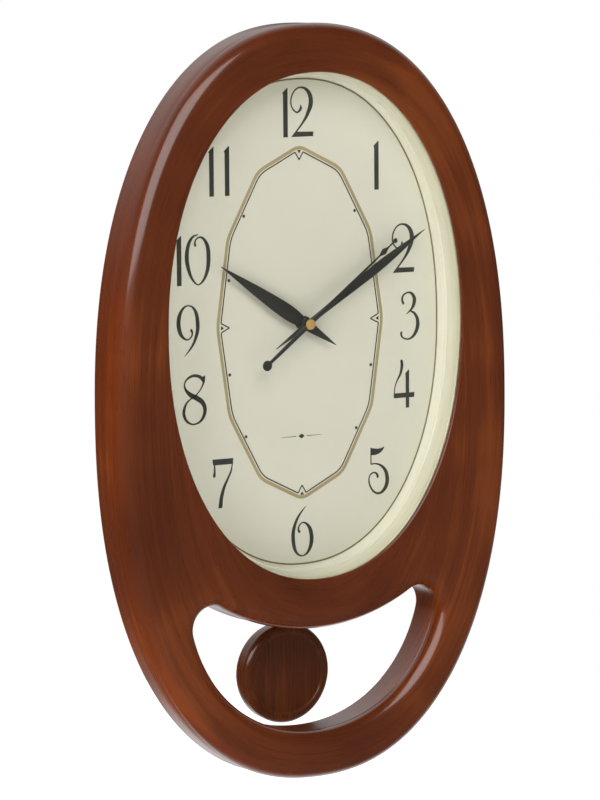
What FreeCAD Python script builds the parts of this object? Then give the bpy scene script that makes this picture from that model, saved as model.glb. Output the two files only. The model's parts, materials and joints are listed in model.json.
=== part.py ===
"""Oval wall clock with a quartz movement and a pendulum.

Millimetres. X is to the right, Z is up and Y runs from the front to the wall.
Every shape is worked out from the hands' axis and the wall plane, and save() then
moves it so that the origin is the centre of the hole that the clock hangs by.
"""
import FreeCAD, Part
import os
from math import cos, sin, pi, radians, copysign
from FreeCAD import Vector as V

# ---- outlines: half width, half height, exponent, height of the centre
FRAME_OUT = (156.8, 257.2, 2.26, -53.4)
DIAL_OPENING = (117.2, 171.8, 2.12, -1.0)
LAND_EDGE = (137.2, 193.2, 2.15, -1.0)
REBATE = (124.0, 180.0, 2.15, -1.0)
RIM_OUT = (123.6, 179.6, 2.15, -1.0)
RIM_FRONT = (116.8, 171.4, 2.12, -1.0)
RIM_FOOT = (112.2, 166.2, 2.18, 0.4)
DIAL_OUT = (118.0, 172.0, 2.15, -1.0)
TUB_OUT = (122.0, 176.0, 2.15, -1.0)
TUB_FLANGE = (135.0, 189.0, 2.15, -1.0)
SCREW_RING = (129.5, 184.5, 2.15, -1.0)
CRESCENT_LOW = (102.0, 105.1, 2.1, -172.6)

# ---- depths along Y
FRAME_BACK = -29.0
FRAME_FRONT = -62.5
LIP_FRONT = -61.3
LIP_BACK = -59.3
OUTER_ROUND = 10.9
CRESCENT_ROUND = 9.4
LENS_T = 1.5
RIM_TOP = LIP_BACK + LENS_T
DIAL_FRONT = -38.0
DIAL_T = 0.6
BOARD_T = 3.0
MOVEMENT = DIAL_FRONT + DIAL_T + BOARD_T
BACK_WALL = -3.0
BACK_WALL_T = 2.2
FLANGE_T = 2.5
PLATE_T = 1.2

# ---- crescent opening
CRESCENT_ARC_R = 152.0
CRESCENT_ARC_Z = -55.5
CRESCENT_CORNER = 15.0

# ---- gear train: teeth and modules
M_MOTION, M_HOUR, M_CENTRE = 0.3125, 0.30, 0.25
M_SECOND, M_ROTOR = 0.29, 0.30
N_CANNON, N_MOTION, N_MOTION_PINION, N_HOUR = 12, 36, 10, 40
N_THIRD, N_THIRD_PINION, N_CENTRE, N_SECOND_PINION = 64, 8, 60, 8
N_SECOND, N_MID_PINION, N_MID, N_ROTOR = 50, 10, 48, 8
THIRD_X, THIRD_Z = 0.0, (N_THIRD_PINION + N_CENTRE) * M_CENTRE / 2
M_THIRD = 2 * THIRD_Z / (N_THIRD + N_SECOND_PINION)
MID_X, MID_Z = (N_SECOND + N_MID_PINION) * M_SECOND / 2, 0.0
ROTOR_ANGLE = radians(60)
ROTOR_A = (N_MID + N_ROTOR) * M_ROTOR / 2
ROTOR_X, ROTOR_Z = MID_X + ROTOR_A * cos(ROTOR_ANGLE), ROTOR_A * sin(ROTOR_ANGLE)
MOTION_ANGLE = radians(200)
MOTION_A = (N_CANNON + N_MOTION) * M_MOTION / 2
MOTION_X, MOTION_Z = MOTION_A * cos(MOTION_ANGLE), MOTION_A * sin(MOTION_ANGLE)
KNOB_X, KNOB_Z = MOTION_X - MOTION_A, MOTION_Z

# ---- shafts, pipes and their running clearance
RUN = 0.06
SECOND_R, MINUTE_R, HOUR_R, BUSH_R = 0.72, 1.5, 2.5, 3.9
PIVOT_R = 0.4
KNOB_SHAFT_R, KNOB_PIVOT_R, KNOB_R, KNOB_FLUTES = 1.2, 0.6, 5.5, 18
MOTION_PIN_R = 0.7

# ---- hands: width at each distance from the axis, and their directions clockwise from 12
HOUR_BLADE = [(-29.5, 0.5), (-24.0, 2.0), (-15.0, 4.4), (-7.0, 6.3), (0.0, 7.0), (5.0, 8.4), (10.0, 9.8),
              (16.0, 10.5), (23.0, 10.2), (32.0, 9.2), (45.0, 7.2), (62.0, 3.8), (78.0, 0.5)]
MINUTE_BLADE = [(-29.5, 0.4), (-20.0, 1.9), (-10.0, 3.0), (0.0, 3.6), (12.0, 3.9), (30.0, 4.8), (50.0, 6.0),
                (68.0, 6.6), (84.0, 5.2), (100.0, 2.6), (112.8, 0.4)]
SECOND_BLADE = [(-43.0, 2.3), (-20.0, 2.9), (0.0, 3.2), (30.0, 2.4), (60.0, 1.5), (71.5, 1.1), (73.5, 1.7),
                (76.3, 3.6), (79.1, 1.7), (81.5, 1.0), (84.0, 1.1), (88.0, 1.6)]
COUNTERWEIGHT_R, HEAD_R = 3.6, 1.7
HOUR_DIR, MINUTE_DIR, SECOND_DIR = 302.5, 58.0, 52.5
HOUR_Y, MINUTE_Y, SECOND_Y = -43.8, -47.3, -50.3
HAND_T = 0.6
HOUR_BOSS_R, HOUR_BOSS_T = 5.2, 1.6
MINUTE_BOSS_R, MINUTE_BOSS_T = 4.2, 1.9
SECOND_BOSS_R, SECOND_BOSS_T = 2.4, 2.2
CAP_R, CAP_T, CAP_SPHERE_R = 3.55, 1.8, 4.6

# ---- movement housing; depths are measured from its front face
BOX_HALF, BOX_WALL = 28.0, 1.2
BOX_SPLIT, BOX_DEPTH = 8.0, 15.4
SHELF_TOP, SHELF_LOW = -10.2, -11.4
EAR_X, EAR_Z, EAR_HALF, EAR_T, EAR_REACH = 31.0, 20.0, 4.0, 2.0, 34.5
EAR_SCREW_R, EAR_HEAD_R, EAR_HEAD_T, EAR_SCREW_DEPTH = 1.2, 2.3, 1.4, 2.5
PIVOT_FRONT, PIVOT_REAR = 0.5, 14.9

# ---- battery
CELL_R, CELL_LEN, CELL_X, CELL_Z, CELL_DEPTH = 7.0, 48.3, -24.3, -19.0, 8.4
CELL_NUB_R, CELL_ROUND = 2.7, 0.7

# ---- movement coil: its iron core is a strip above the stator
CORE_Z0, CORE_Z1, CORE_Y0, CORE_Y1 = 19.2, 21.8, 9.3, 9.9
COIL_X0, COIL_X1, COIL_CHEEK, COIL_CHEEK_HALF = 12.5, 21.2, 0.6, 3.6
COIL_TUBE_HALF_Y, COIL_TUBE_HALF_Z, COIL_WIRE_R = 0.9, 2.1, 3.3

# ---- pendulum
PIVOT_Z = -42.0
PIN_R = 1.0
UNIT_HALF, UNIT_LOW, UNIT_TOP, UNIT_WALL = 22.0, -76.0, -34.0, 1.2
UNIT_SPLIT, UNIT_DEPTH = 14.0, 15.5
UNIT_EAR_X, UNIT_EAR_Z, UNIT_EAR_REACH = 25.5, -56.0, 29.0
DRIVE_Z, DRIVE_COIL_R, DRIVE_POST_R, MAGNET_R = -66.0, 8.6, 3.0, 4.0
PIN_HEAD_R, PIN_FRONT, PIN_HEAD_Y, PIN_END = 2.2, 11.0, -9.0, -8.2
ARM_Y, ARM_HALF = -13.0, 4.0
HOOK_Z = -82.0
HOOK_R, HOOK_HEAD_R = 1.2, 2.2
HOOK_EYE_R = 3.6
ROD_Y, ROD_T, ROD_W = -11.3, 1.0, 5.0
ROD_TUCK = 8.0
BOB_Z, BOB_R, BOB_FRONT, BOB_BACK = -244.1, 34.8, -17.6, -4.6
BOB_ROUND, BOB_EDGE, BOB_SUNK, BOB_BACK_STEP = 3.5, 5.2, 0.95, 0.8
BOB_RIVET_X, BOB_RIVET_R, BOB_RIVET_HEAD_R, RIVET_HEAD_T = 14.0, 1.4, 2.6, 0.9

# ---- fasteners
CASE_SCREW_R, CASE_SCREW_HEAD, CASE_SCREW_HEAD_T, CASE_SCREW_LEN = 1.5, 3.1, 2.0, 11.0
CROSS_HALF_L, CROSS_HALF_W, CROSS_DEPTH = 2.0, 0.4, 0.8
SCREW_STATIONS = [radians(a) for a in (28, 90, 152, 208, 270, 332)]
HANGER_Z = 104.0
KEYHOLE_R, KEYHOLE_SLOT, KEYHOLE_RISE = 4.5, 2.2, 12.0
PAD_X, PAD_Z, PAD_R = 80.0, 100.0, 7.0
HANGER_HALF, HANGER_DOWN, HANGER_UP, HANGER_ROUND = 18.0, 16.0, 24.0, 5.0
HANGER_RIVET_X, HANGER_RIVET_Z, HANGER_RIVET_R, HANGER_RIVET_HEAD_R = 13.0, HANGER_Z + 6.0, 1.5, 2.8
KEYHOLE_CUT = 7.5

# ---- back tub, its battery opening and the sliding door
TUB_WALL = 2.2
ROD_GATE = (24.5, -17.5, -5.2, -186.0, -168.0)
DOOR_HOLE_X, DOOR_HOLE_LOW, DOOR_HOLE_TOP = 30.0, -32.0, 12.0
DOOR_X, DOOR_Y0, DOOR_Y1, DOOR_LOW, DOOR_TOP = 33.0, -2.9, -1.5, -35.0, 13.0
RAIL_X0, RAIL_X1, RAIL_LIP_X, RAIL_LIP_Y, RAIL_BACK = 33.3, 36.3, 30.5, -1.3, -0.7
RAIL_LOW, RAIL_TOP = -85.0, 14.0
GRIP_COUNT, GRIP_HALF, GRIP_STEP, GRIP_W, GRIP_BACK = 5, 10.0, 3.0, 1.2, -0.9
HANG_POINT = V(0, BACK_WALL + PLATE_T / 2, HANGER_Z)


def signed_power(value, power):
    return copysign(abs(value) ** power, value)


def outline_point(outline, angle, y):
    half_w, half_h, n, centre = outline
    return V(half_w * signed_power(cos(angle), 2 / n), y,
             centre + half_h * signed_power(sin(angle), 2 / n))


def outline_wire(outline, y, count=48):
    curve = Part.BSplineCurve()
    points = [outline_point(outline, 2 * pi * (k + 0.5) / count, y) for k in range(count)]
    curve.interpolate(Points=points, PeriodicFlag=True)
    return Part.Wire(curve.toShape())


def prism(outline, y0, y1):
    return Part.Face(outline_wire(outline, y0)).extrude(V(0, y1 - y0, 0))


def frustum(outline0, y0, outline1, y1):
    return Part.makeLoft([outline_wire(outline0, y0), outline_wire(outline1, y1)], True, True)


def box(x0, x1, y0, y1, z0, z1):
    return Part.makeBox(x1 - x0, y1 - y0, z1 - z0, V(x0, y0, z0))


def rod(radius, y0, y1, x=0.0, z=0.0):
    return Part.makeCylinder(radius, y1 - y0, V(x, y0, z), V(0, 1, 0))


def tube(outer, inner, y0, y1, x=0.0, z=0.0):
    return rod(outer, y0, y1, x, z).cut(rod(inner, y0 - 1, y1 + 1, x, z))


def rod_x(radius, x0, x1, y, z):
    return Part.makeCylinder(radius, x1 - x0, V(x0, y, z), V(1, 0, 0))


def at(depth):
    """Y of a depth measured into the movement from its front face."""
    return MOVEMENT + depth


def fuse(first, *others):
    return first.multiFuse(list(others)).removeSplitter()


def cut(body, *tools):
    for tool in tools:
        body = body.cut(tool)
    return body


def plate(points, y0, y1):
    wire = Part.makePolygon([V(x, y0, z) for x, z in points] + [V(points[0][0], y0, points[0][1])])
    return Part.Face(wire).extrude(V(0, y1 - y0, 0))


def gear(teeth, module, y0, y1, x=0.0, z=0.0, phase=0.0):
    """Spur gear with straight-flanked teeth; phase turns tooth 0 from the +X direction."""
    pitch_r, step = teeth * module / 2, 2 * pi / teeth
    root, tip = pitch_r - 1.1 * module, pitch_r + 0.8 * module
    corners = ((root, -0.25), (pitch_r, -0.19), (tip, -0.09), (tip, 0.09), (pitch_r, 0.19), (root, 0.25))
    points = [(x + r * cos(phase + (k + w) * step), z + r * sin(phase + (k + w) * step))
              for k in range(teeth) for r, w in corners]
    return plate(points, y0, y1)


def mesh_phase(teeth, phase, direction, other_teeth):
    """Phase of a gear that meshes with another lying in the given direction from it."""
    offset = ((phase - direction) / (2 * pi / teeth)) % 1.0
    return direction + pi + (0.5 - offset) * 2 * pi / other_teeth


def save(name, shape):
    if len(shape.Solids) == 1:
        shape = shape.Solids[0]
    if not shape.isValid():
        raise ValueError(name + " is not a valid solid")
    shape.translate(-HANG_POINT)
    shape.exportStep("parts/" + name + ".step")
    print(name, len(shape.Solids), round(shape.Volume, 1))


# ------------------------------------------------------------------ case
def crescent(y0, y1):
    """The crescent opening: an oval below a large round, with rounded corners."""
    body = prism(CRESCENT_LOW, y0, y1).cut(rod(CRESCENT_ARC_R, y0 - 1, y1 + 1, 0, CRESCENT_ARC_Z))
    corners = [e for e in body.Edges
               if abs(e.Vertexes[0].Y - e.Vertexes[-1].Y) > 1 and abs(e.Vertexes[0].X) > 60]
    return body.makeFillet(CRESCENT_CORNER, corners)


def front_edges(body, y, low, high):
    """Edges on the plane Y = y whose widest X lies between two values."""
    return [e for e in body.Edges if abs(e.BoundBox.YMin - y) < 0.01 and abs(e.BoundBox.YMax - y) < 0.01
            and low < max(abs(e.BoundBox.XMin), abs(e.BoundBox.XMax)) < high]


def case_screw_places():
    return [outline_point(SCREW_RING, angle, 0) for angle in SCREW_STATIONS]


def case_frame():
    body = prism(FRAME_OUT, FRAME_FRONT, FRAME_BACK)
    body = body.makeFillet(OUTER_ROUND, front_edges(body, FRAME_FRONT, 150, 170))
    body = body.cut(crescent(FRAME_FRONT - 5, FRAME_BACK + 5))
    body = body.makeFillet(CRESCENT_ROUND, front_edges(body, FRAME_FRONT, 60, 110))
    body = cut(body, frustum(LAND_EDGE, FRAME_FRONT - 0.1, DIAL_OPENING, LIP_FRONT),
               prism(DIAL_OPENING, FRAME_FRONT - 5, FRAME_BACK + 5),
               prism(REBATE, LIP_BACK, FRAME_BACK + 5))
    for p in case_screw_places():
        body = body.cut(rod(CASE_SCREW_R, FRAME_BACK - 9.5, FRAME_BACK + 1, p.x, p.z))
    return body


def dial_rim():
    body = prism(RIM_OUT, RIM_TOP, FRAME_BACK)
    return cut(body, frustum(RIM_FRONT, RIM_TOP, RIM_FOOT, DIAL_FRONT),
               prism(DIAL_OUT, DIAL_FRONT, FRAME_BACK + 1))


def dial_stack(y0, y1):
    small = (DIAL_OUT[0] - 0.2, DIAL_OUT[1] - 0.2) + DIAL_OUT[2:]
    return prism(small, y0, y1).cut(rod(BUSH_R + 0.3, y0 - 1, y1 + 1))


def dial_board():
    body = dial_stack(DIAL_FRONT + DIAL_T, MOVEMENT)
    for x, z in ear_places() + unit_ear_places():
        body = body.cut(rod(1.2, MOVEMENT - 2.5, MOVEMENT + 1, x, z))
    return body


def rear_case():
    wall = prism(TUB_OUT, FRAME_BACK, BACK_WALL)
    inside = tuple(v - TUB_WALL for v in TUB_OUT[:2]) + TUB_OUT[2:]
    body = fuse(wall, prism(TUB_FLANGE, FRAME_BACK, FRAME_BACK + FLANGE_T))
    body = body.cut(prism(inside, FRAME_BACK - 1, BACK_WALL - BACK_WALL_T))
    back0, back1 = BACK_WALL - BACK_WALL_T - 1, BACK_WALL + 1
    top = HANGER_Z + KEYHOLE_RISE
    gate_x, gate_y0, gate_y1, gate_low, gate_top = ROD_GATE
    body = cut(body, box(-gate_x, gate_x, gate_y0, gate_y1, gate_low, gate_top),
               box(-DOOR_HOLE_X, DOOR_HOLE_X, back0, back1, DOOR_HOLE_LOW, DOOR_HOLE_TOP),
               rod(KEYHOLE_CUT, back0, back1, 0, HANGER_Z), rod(KEYHOLE_CUT, back0, back1, 0, top),
               box(-KEYHOLE_CUT, KEYHOLE_CUT, back0, back1, HANGER_Z, top))
    for side in (-1, 1):
        body = body.cut(rod(HANGER_RIVET_R, back0, back1, side * HANGER_RIVET_X, HANGER_RIVET_Z))
        x0, x1 = sorted((side * RAIL_X0, side * RAIL_X1))
        lip0, lip1 = sorted((side * RAIL_LIP_X, side * RAIL_X1))
        body = fuse(body, box(x0, x1, BACK_WALL, RAIL_BACK, RAIL_LOW, RAIL_TOP),
                    box(lip0, lip1, RAIL_LIP_Y, RAIL_BACK, RAIL_LOW, RAIL_TOP))
    for p in case_screw_places():
        body = body.cut(rod(CASE_SCREW_R + 0.2, FRAME_BACK - 1, FRAME_BACK + FLANGE_T + 1, p.x, p.z))
    return body


def case_screw(x, z):
    """Pan-head screw with a cross recess."""
    y = FRAME_BACK + FLANGE_T
    top = y + CASE_SCREW_HEAD_T
    body = fuse(rod(CASE_SCREW_HEAD, y, top, x, z), rod(CASE_SCREW_R, y - CASE_SCREW_LEN, y, x, z))
    for half_x, half_z in ((CROSS_HALF_L, CROSS_HALF_W), (CROSS_HALF_W, CROSS_HALF_L)):
        body = body.cut(box(x - half_x, x + half_x, top - CROSS_DEPTH, top + 1, z - half_z, z + half_z))
    return body


def case_screws():
    return Part.makeCompound([case_screw(p.x, p.z) for p in case_screw_places()])


def hanger_plate():
    y0, y1 = BACK_WALL, BACK_WALL + PLATE_T
    body = box(-HANGER_HALF, HANGER_HALF, y0, y1, HANGER_Z - HANGER_DOWN, HANGER_Z + HANGER_UP)
    upright = [e for e in body.Edges if e.BoundBox.YLength > 1 and e.BoundBox.XLength < 0.1]
    body = body.makeFillet(HANGER_ROUND, upright)
    top = HANGER_Z + KEYHOLE_RISE
    for side in (-1, 1):
        body = body.cut(rod(HANGER_RIVET_R, y0 - 1, y1 + 1, side * HANGER_RIVET_X, HANGER_RIVET_Z))
    return cut(body, rod(KEYHOLE_R, y0 - 1, y1 + 1, 0, HANGER_Z), rod(KEYHOLE_SLOT, y0 - 1, y1 + 1, 0, top),
               box(-KEYHOLE_SLOT, KEYHOLE_SLOT, y0 - 1, y1 + 1, HANGER_Z, top))


def hanger_rivet(x):
    inner, outer = BACK_WALL - BACK_WALL_T, BACK_WALL + PLATE_T
    return fuse(rod(HANGER_RIVET_R, inner, outer, x, HANGER_RIVET_Z),
                rod(HANGER_RIVET_HEAD_R, inner - RIVET_HEAD_T, inner, x, HANGER_RIVET_Z),
                rod(HANGER_RIVET_HEAD_R, outer, outer + RIVET_HEAD_T, x, HANGER_RIVET_Z))


def hanger_rivets():
    return Part.makeCompound([hanger_rivet(-HANGER_RIVET_X), hanger_rivet(HANGER_RIVET_X)])


def wall_pads():
    return Part.makeCompound([rod(PAD_R, BACK_WALL, 0, sx * PAD_X, sz * PAD_Z)
                              for sx in (-1, 1) for sz in (-1, 1)])


def battery_door():
    body = box(-DOOR_X, DOOR_X, DOOR_Y0, DOOR_Y1, DOOR_LOW, DOOR_TOP)
    for k in range(GRIP_COUNT):
        z = 4.0 - GRIP_STEP * k
        body = body.fuse(box(-GRIP_HALF, GRIP_HALF, DOOR_Y1 - 0.1, GRIP_BACK, z, z + GRIP_W))
    return body.removeSplitter()


# -------------------------------------------------------------- movement
def ear_places():
    return [(sx * EAR_X, sz * EAR_Z) for sx in (-1, 1) for sz in (-1, 1)]


def unit_ear_places():
    return [(-UNIT_EAR_X, UNIT_EAR_Z), (UNIT_EAR_X, UNIT_EAR_Z)]


def pivot_places():
    return [(THIRD_X, THIRD_Z), (MID_X, MID_Z), (ROTOR_X, ROTOR_Z)]


def with_ears(body, places, wall_x, reach):
    """Adds a drilled screw ear beside the housing at each place."""
    for x, z in places:
        x0, x1 = sorted((copysign(wall_x, x), copysign(reach, x)))
        body = body.fuse(box(x0, x1, at(0), at(EAR_T), z - EAR_HALF, z + EAR_HALF))
        body = body.cut(rod(EAR_SCREW_R, at(-1), at(EAR_T + 1), x, z))
    return body


def ear_screws(places):
    return Part.makeCompound([fuse(rod(EAR_HEAD_R, at(EAR_T), at(EAR_T + EAR_HEAD_T), x, z),
                                   rod(EAR_SCREW_R, at(-EAR_SCREW_DEPTH), at(EAR_T), x, z))
                              for x, z in places])


def hollow(front, rear, train_rear):
    """A depth range of the housing's inside: the room of the wheels and the room of the battery."""
    inner = BOX_HALF - BOX_WALL
    return fuse(box(-inner, inner, at(front), at(train_rear), SHELF_TOP, inner),
                box(-inner, inner, at(front), at(rear), -inner, SHELF_LOW))


def movement_base():
    body = box(-BOX_HALF, BOX_HALF, at(0), at(BOX_SPLIT), -BOX_HALF, BOX_HALF)
    body = body.cut(hollow(BOX_WALL, BOX_SPLIT + 1, BOX_SPLIT + 1))
    body = with_ears(body, ear_places(), BOX_HALF, EAR_REACH)
    posts = [rod(1.5, at(1), at(3), x, z) for x, z in ((-22, 15.5), (-9.5, 22.5))]
    body = fuse(body, rod(BUSH_R, at(-4.6), at(2.4)),
                rod(MOTION_PIN_R, at(1), at(6.2), MOTION_X, MOTION_Z), *posts)
    body = body.cut(rod(HOUR_R + RUN, at(-5), at(3)))
    for x, z in pivot_places():
        body = body.cut(rod(PIVOT_R + RUN, at(0.4), at(2), x, z))
    return body.cut(rod(KNOB_PIVOT_R + RUN, at(0.4), at(2), KNOB_X, KNOB_Z)).removeSplitter()


def movement_cover():
    body = box(-BOX_HALF, BOX_HALF, at(BOX_SPLIT), at(BOX_DEPTH), -BOX_HALF, BOX_HALF)
    body = body.cut(hollow(BOX_SPLIT - 1, BOX_DEPTH + 1, BOX_DEPTH - 1.4))
    for x, z in pivot_places() + [(0, 0)]:
        body = body.cut(rod(PIVOT_R + RUN, at(13), at(15), x, z))
    return body.cut(rod(KNOB_SHAFT_R + RUN, at(13), at(17), KNOB_X, KNOB_Z))


def movement_screws():
    return ear_screws(ear_places())


def circuit_board():
    return box(-25.5, -6, at(3), at(4), 13, 25.5)


def timing_chip():
    return box(-21, -15, at(4), at(5.6), 16, 21)


def quartz_crystal():
    return rod_x(1.0, -13.5, -7.5, at(5.0), 16)


def contact_positive():
    return fuse(box(25.3, 25.8, at(1.3), at(13), -25, -13.5),
                box(21.5, 25.8, at(1.3), at(1.7), -14.5, -12.5))


def contact_negative():
    dome = Part.makeCone(3.2, 1.2, 1.6, V(-25.9, at(CELL_DEPTH), CELL_Z), V(1, 0, 0))
    return fuse(box(-26.4, -25.9, at(2), at(13), -25, -13.5), dome)


def battery():
    end = CELL_X + CELL_LEN
    body = fuse(rod_x(CELL_R, CELL_X, end, at(CELL_DEPTH), CELL_Z),
                rod_x(CELL_NUB_R, end, end + 1.3, at(CELL_DEPTH), CELL_Z))
    rim = [e for e in body.Edges
           if e.BoundBox.XLength < 0.01 and e.BoundBox.ZLength > 2 * CELL_R - 0.1]
    return body.makeFillet(CELL_ROUND, rim)


def stator():
    outline = [(9.2, 3.2), (24.5, 3.2), (24.5, 23), (21.5, 23), (21.5, 13), (12.2, 13),
               (12.2, 23), (9.2, 23)]
    return cut(plate(outline, at(8.7), at(9.3)), rod(3.1, at(8), at(10), ROTOR_X, ROTOR_Z))


def coil_core():
    return box(9.2, 24.5, at(CORE_Y0), at(CORE_Y1), CORE_Z0, CORE_Z1)


def coil_tube():
    """The square tube of the bobbin, which the wire is wound on."""
    y, z = at((CORE_Y0 + CORE_Y1) / 2), (CORE_Z0 + CORE_Z1) / 2
    return box(COIL_X0, COIL_X1, y - COIL_TUBE_HALF_Y, y + COIL_TUBE_HALF_Y,
               z - COIL_TUBE_HALF_Z, z + COIL_TUBE_HALF_Z)


def coil_bobbin():
    y, z = at((CORE_Y0 + CORE_Y1) / 2), (CORE_Z0 + CORE_Z1) / 2
    half = COIL_CHEEK_HALF
    cheeks = [box(x, x + COIL_CHEEK, y - half, y + half, z - half, z + half)
              for x in (COIL_X0, COIL_X1 - COIL_CHEEK)]
    bore = box(COIL_X0 - 1, COIL_X1 + 1, at(CORE_Y0), at(CORE_Y1), CORE_Z0, CORE_Z1)
    return fuse(coil_tube(), *cheeks).cut(bore)


def coil_winding():
    y, z = at((CORE_Y0 + CORE_Y1) / 2), (CORE_Z0 + CORE_Z1) / 2
    return rod_x(COIL_WIRE_R, COIL_X0 + COIL_CHEEK, COIL_X1 - COIL_CHEEK, y, z).cut(coil_tube())


# phases of the wheels at rest: each pair has a tooth of one in a gap of the other
CANNON_PHASE = MOTION_ANGLE
MOTION_PHASE = mesh_phase(N_CANNON, CANNON_PHASE, MOTION_ANGLE, N_MOTION)
MOTION_PINION_PHASE = MOTION_ANGLE + pi
HOUR_PHASE = mesh_phase(N_MOTION_PINION, MOTION_PINION_PHASE, MOTION_ANGLE + pi, N_HOUR)
KNOB_PHASE = mesh_phase(N_MOTION, MOTION_PHASE, pi, N_CANNON)
THIRD_PINION_PHASE = -pi / 2
CENTRE_PHASE = mesh_phase(N_THIRD_PINION, THIRD_PINION_PHASE, -pi / 2, N_CENTRE)
SECOND_PINION_PHASE = pi / 2
THIRD_PHASE = mesh_phase(N_SECOND_PINION, SECOND_PINION_PHASE, pi / 2, N_THIRD)
MID_PINION_PHASE = pi
SECOND_PHASE = mesh_phase(N_MID_PINION, MID_PINION_PHASE, pi, N_SECOND)
ROTOR_PHASE = ROTOR_ANGLE + pi
MID_PHASE = mesh_phase(N_ROTOR, ROTOR_PHASE, ROTOR_ANGLE + pi, N_MID)


def hour_wheel():
    body = fuse(gear(N_HOUR, M_HOUR, at(2.8), at(3.6), phase=HOUR_PHASE), rod(HOUR_R, HOUR_Y, at(2.8)))
    return body.cut(rod(MINUTE_R + RUN, HOUR_Y - 1, at(4)))


def minute_arbor():
    body = fuse(gear(N_CANNON, M_MOTION, at(4.0), at(5.6), phase=CANNON_PHASE),
                rod(MINUTE_R, MINUTE_Y, at(7.4)), rod(2.0, at(7.4), at(7.6)))
    return body.cut(rod(SECOND_R + RUN, MINUTE_Y - 1, at(8)))


def motion_wheel():
    body = fuse(gear(N_MOTION, M_MOTION, at(4.2), at(5.2), MOTION_X, MOTION_Z, MOTION_PHASE),
                gear(N_MOTION_PINION, M_HOUR, at(2.6), at(4.2), MOTION_X, MOTION_Z, MOTION_PINION_PHASE))
    return body.cut(rod(MOTION_PIN_R + RUN, at(2), at(6), MOTION_X, MOTION_Z))


def set_knob():
    knob = rod(KNOB_R, at(16.2), at(19.2), KNOB_X, KNOB_Z)
    for k in range(KNOB_FLUTES):
        a = 2 * pi * k / KNOB_FLUTES
        x, z = KNOB_X + (KNOB_R + 0.1) * cos(a), KNOB_Z + (KNOB_R + 0.1) * sin(a)
        knob = knob.cut(rod(0.45, at(16), at(20), x, z))
    return fuse(knob, rod(KNOB_SHAFT_R, at(1.8), at(16.2), KNOB_X, KNOB_Z),
                rod(KNOB_PIVOT_R, at(0.6), at(1.8), KNOB_X, KNOB_Z),
                gear(N_CANNON, M_MOTION, at(4.0), at(5.4), KNOB_X, KNOB_Z, KNOB_PHASE))


def centre_wheel():
    body = fuse(gear(N_CENTRE, M_CENTRE, at(6.4), at(7.1), phase=CENTRE_PHASE), rod(2.4, at(6.0), at(7.3)))
    return body.cut(rod(MINUTE_R + RUN, at(5), at(8)))


def third_wheel():
    return fuse(rod(PIVOT_R, at(PIVOT_FRONT), at(PIVOT_REAR), THIRD_X, THIRD_Z),
                gear(N_THIRD_PINION, M_CENTRE, at(6.0), at(7.5), THIRD_X, THIRD_Z, THIRD_PINION_PHASE),
                gear(N_THIRD, M_THIRD, at(8.0), at(8.6), THIRD_X, THIRD_Z, THIRD_PHASE))


def second_wheel():
    return fuse(rod(SECOND_R, SECOND_Y, at(7.8)), rod(0.5, at(7.8), at(13.2)),
                rod(PIVOT_R, at(13.2), at(PIVOT_REAR)),
                gear(N_SECOND_PINION, M_THIRD, at(7.8), at(9.3), phase=SECOND_PINION_PHASE),
                gear(N_SECOND, M_SECOND, at(9.6), at(10.2), phase=SECOND_PHASE))


def intermediate_wheel():
    return fuse(rod(PIVOT_R, at(PIVOT_FRONT), at(PIVOT_REAR), MID_X, MID_Z),
                gear(N_MID_PINION, M_SECOND, at(9.4), at(10.5), MID_X, MID_Z, MID_PINION_PHASE),
                gear(N_MID, M_ROTOR, at(10.8), at(11.4), MID_X, MID_Z, MID_PHASE))


def rotor():
    return fuse(rod(PIVOT_R, at(PIVOT_FRONT), at(PIVOT_REAR), ROTOR_X, ROTOR_Z),
                rod(2.75, at(7.9), at(10.1), ROTOR_X, ROTOR_Z),
                gear(N_ROTOR, M_ROTOR, at(10.5), at(11.7), ROTOR_X, ROTOR_Z, ROTOR_PHASE))


# ----------------------------------------------------------------- hands
def turned(shape, direction):
    shape.rotate(V(0, 0, 0), V(0, 1, 0), direction)
    return shape


def blade(stations, y):
    """A flat hand pointing to 12, from its width at each distance from the axis."""
    right = [(width / 2, z) for z, width in stations]
    return plate(right + [(-x, z) for x, z in reversed(right)], y, y + HAND_T)


def hand(stations, y, boss_r, boss_t, hole_r):
    body = fuse(blade(stations, y), rod(boss_r, y, y + boss_t))
    return body.cut(rod(hole_r, y - 1, y + boss_t + 1))


def hour_hand():
    return turned(hand(HOUR_BLADE, HOUR_Y, HOUR_BOSS_R, HOUR_BOSS_T, HOUR_R), HOUR_DIR)


def minute_hand():
    return turned(hand(MINUTE_BLADE, MINUTE_Y, MINUTE_BOSS_R, MINUTE_BOSS_T, MINUTE_R), MINUTE_DIR)


def second_hand():
    body = hand(SECOND_BLADE, SECOND_Y, SECOND_BOSS_R, SECOND_BOSS_T, SECOND_R)
    back = SECOND_Y + HAND_T
    body = fuse(body, rod(COUNTERWEIGHT_R, SECOND_Y, back, 0, SECOND_BLADE[0][0]),
                rod(HEAD_R, SECOND_Y, back, 0, SECOND_BLADE[-1][0]))
    return turned(body, SECOND_DIR)


def second_cap():
    ball = Part.makeSphere(CAP_SPHERE_R, V(0, SECOND_Y - CAP_T + CAP_SPHERE_R, 0))
    return ball.common(rod(CAP_R, SECOND_Y - CAP_T, SECOND_Y))


# -------------------------------------------------------------- pendulum
def pendulum_case():
    inner, low, top = UNIT_HALF - UNIT_WALL, UNIT_LOW + UNIT_WALL, UNIT_TOP - UNIT_WALL
    body = box(-UNIT_HALF, UNIT_HALF, at(0), at(UNIT_SPLIT), UNIT_LOW, UNIT_TOP)
    body = body.cut(box(-inner, inner, at(UNIT_WALL), at(UNIT_SPLIT + 1), low, top))
    body = with_ears(body, unit_ear_places(), UNIT_HALF, UNIT_EAR_REACH)
    return fuse(body, rod(DRIVE_POST_R, at(1), at(4), 0, DRIVE_Z))


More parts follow.
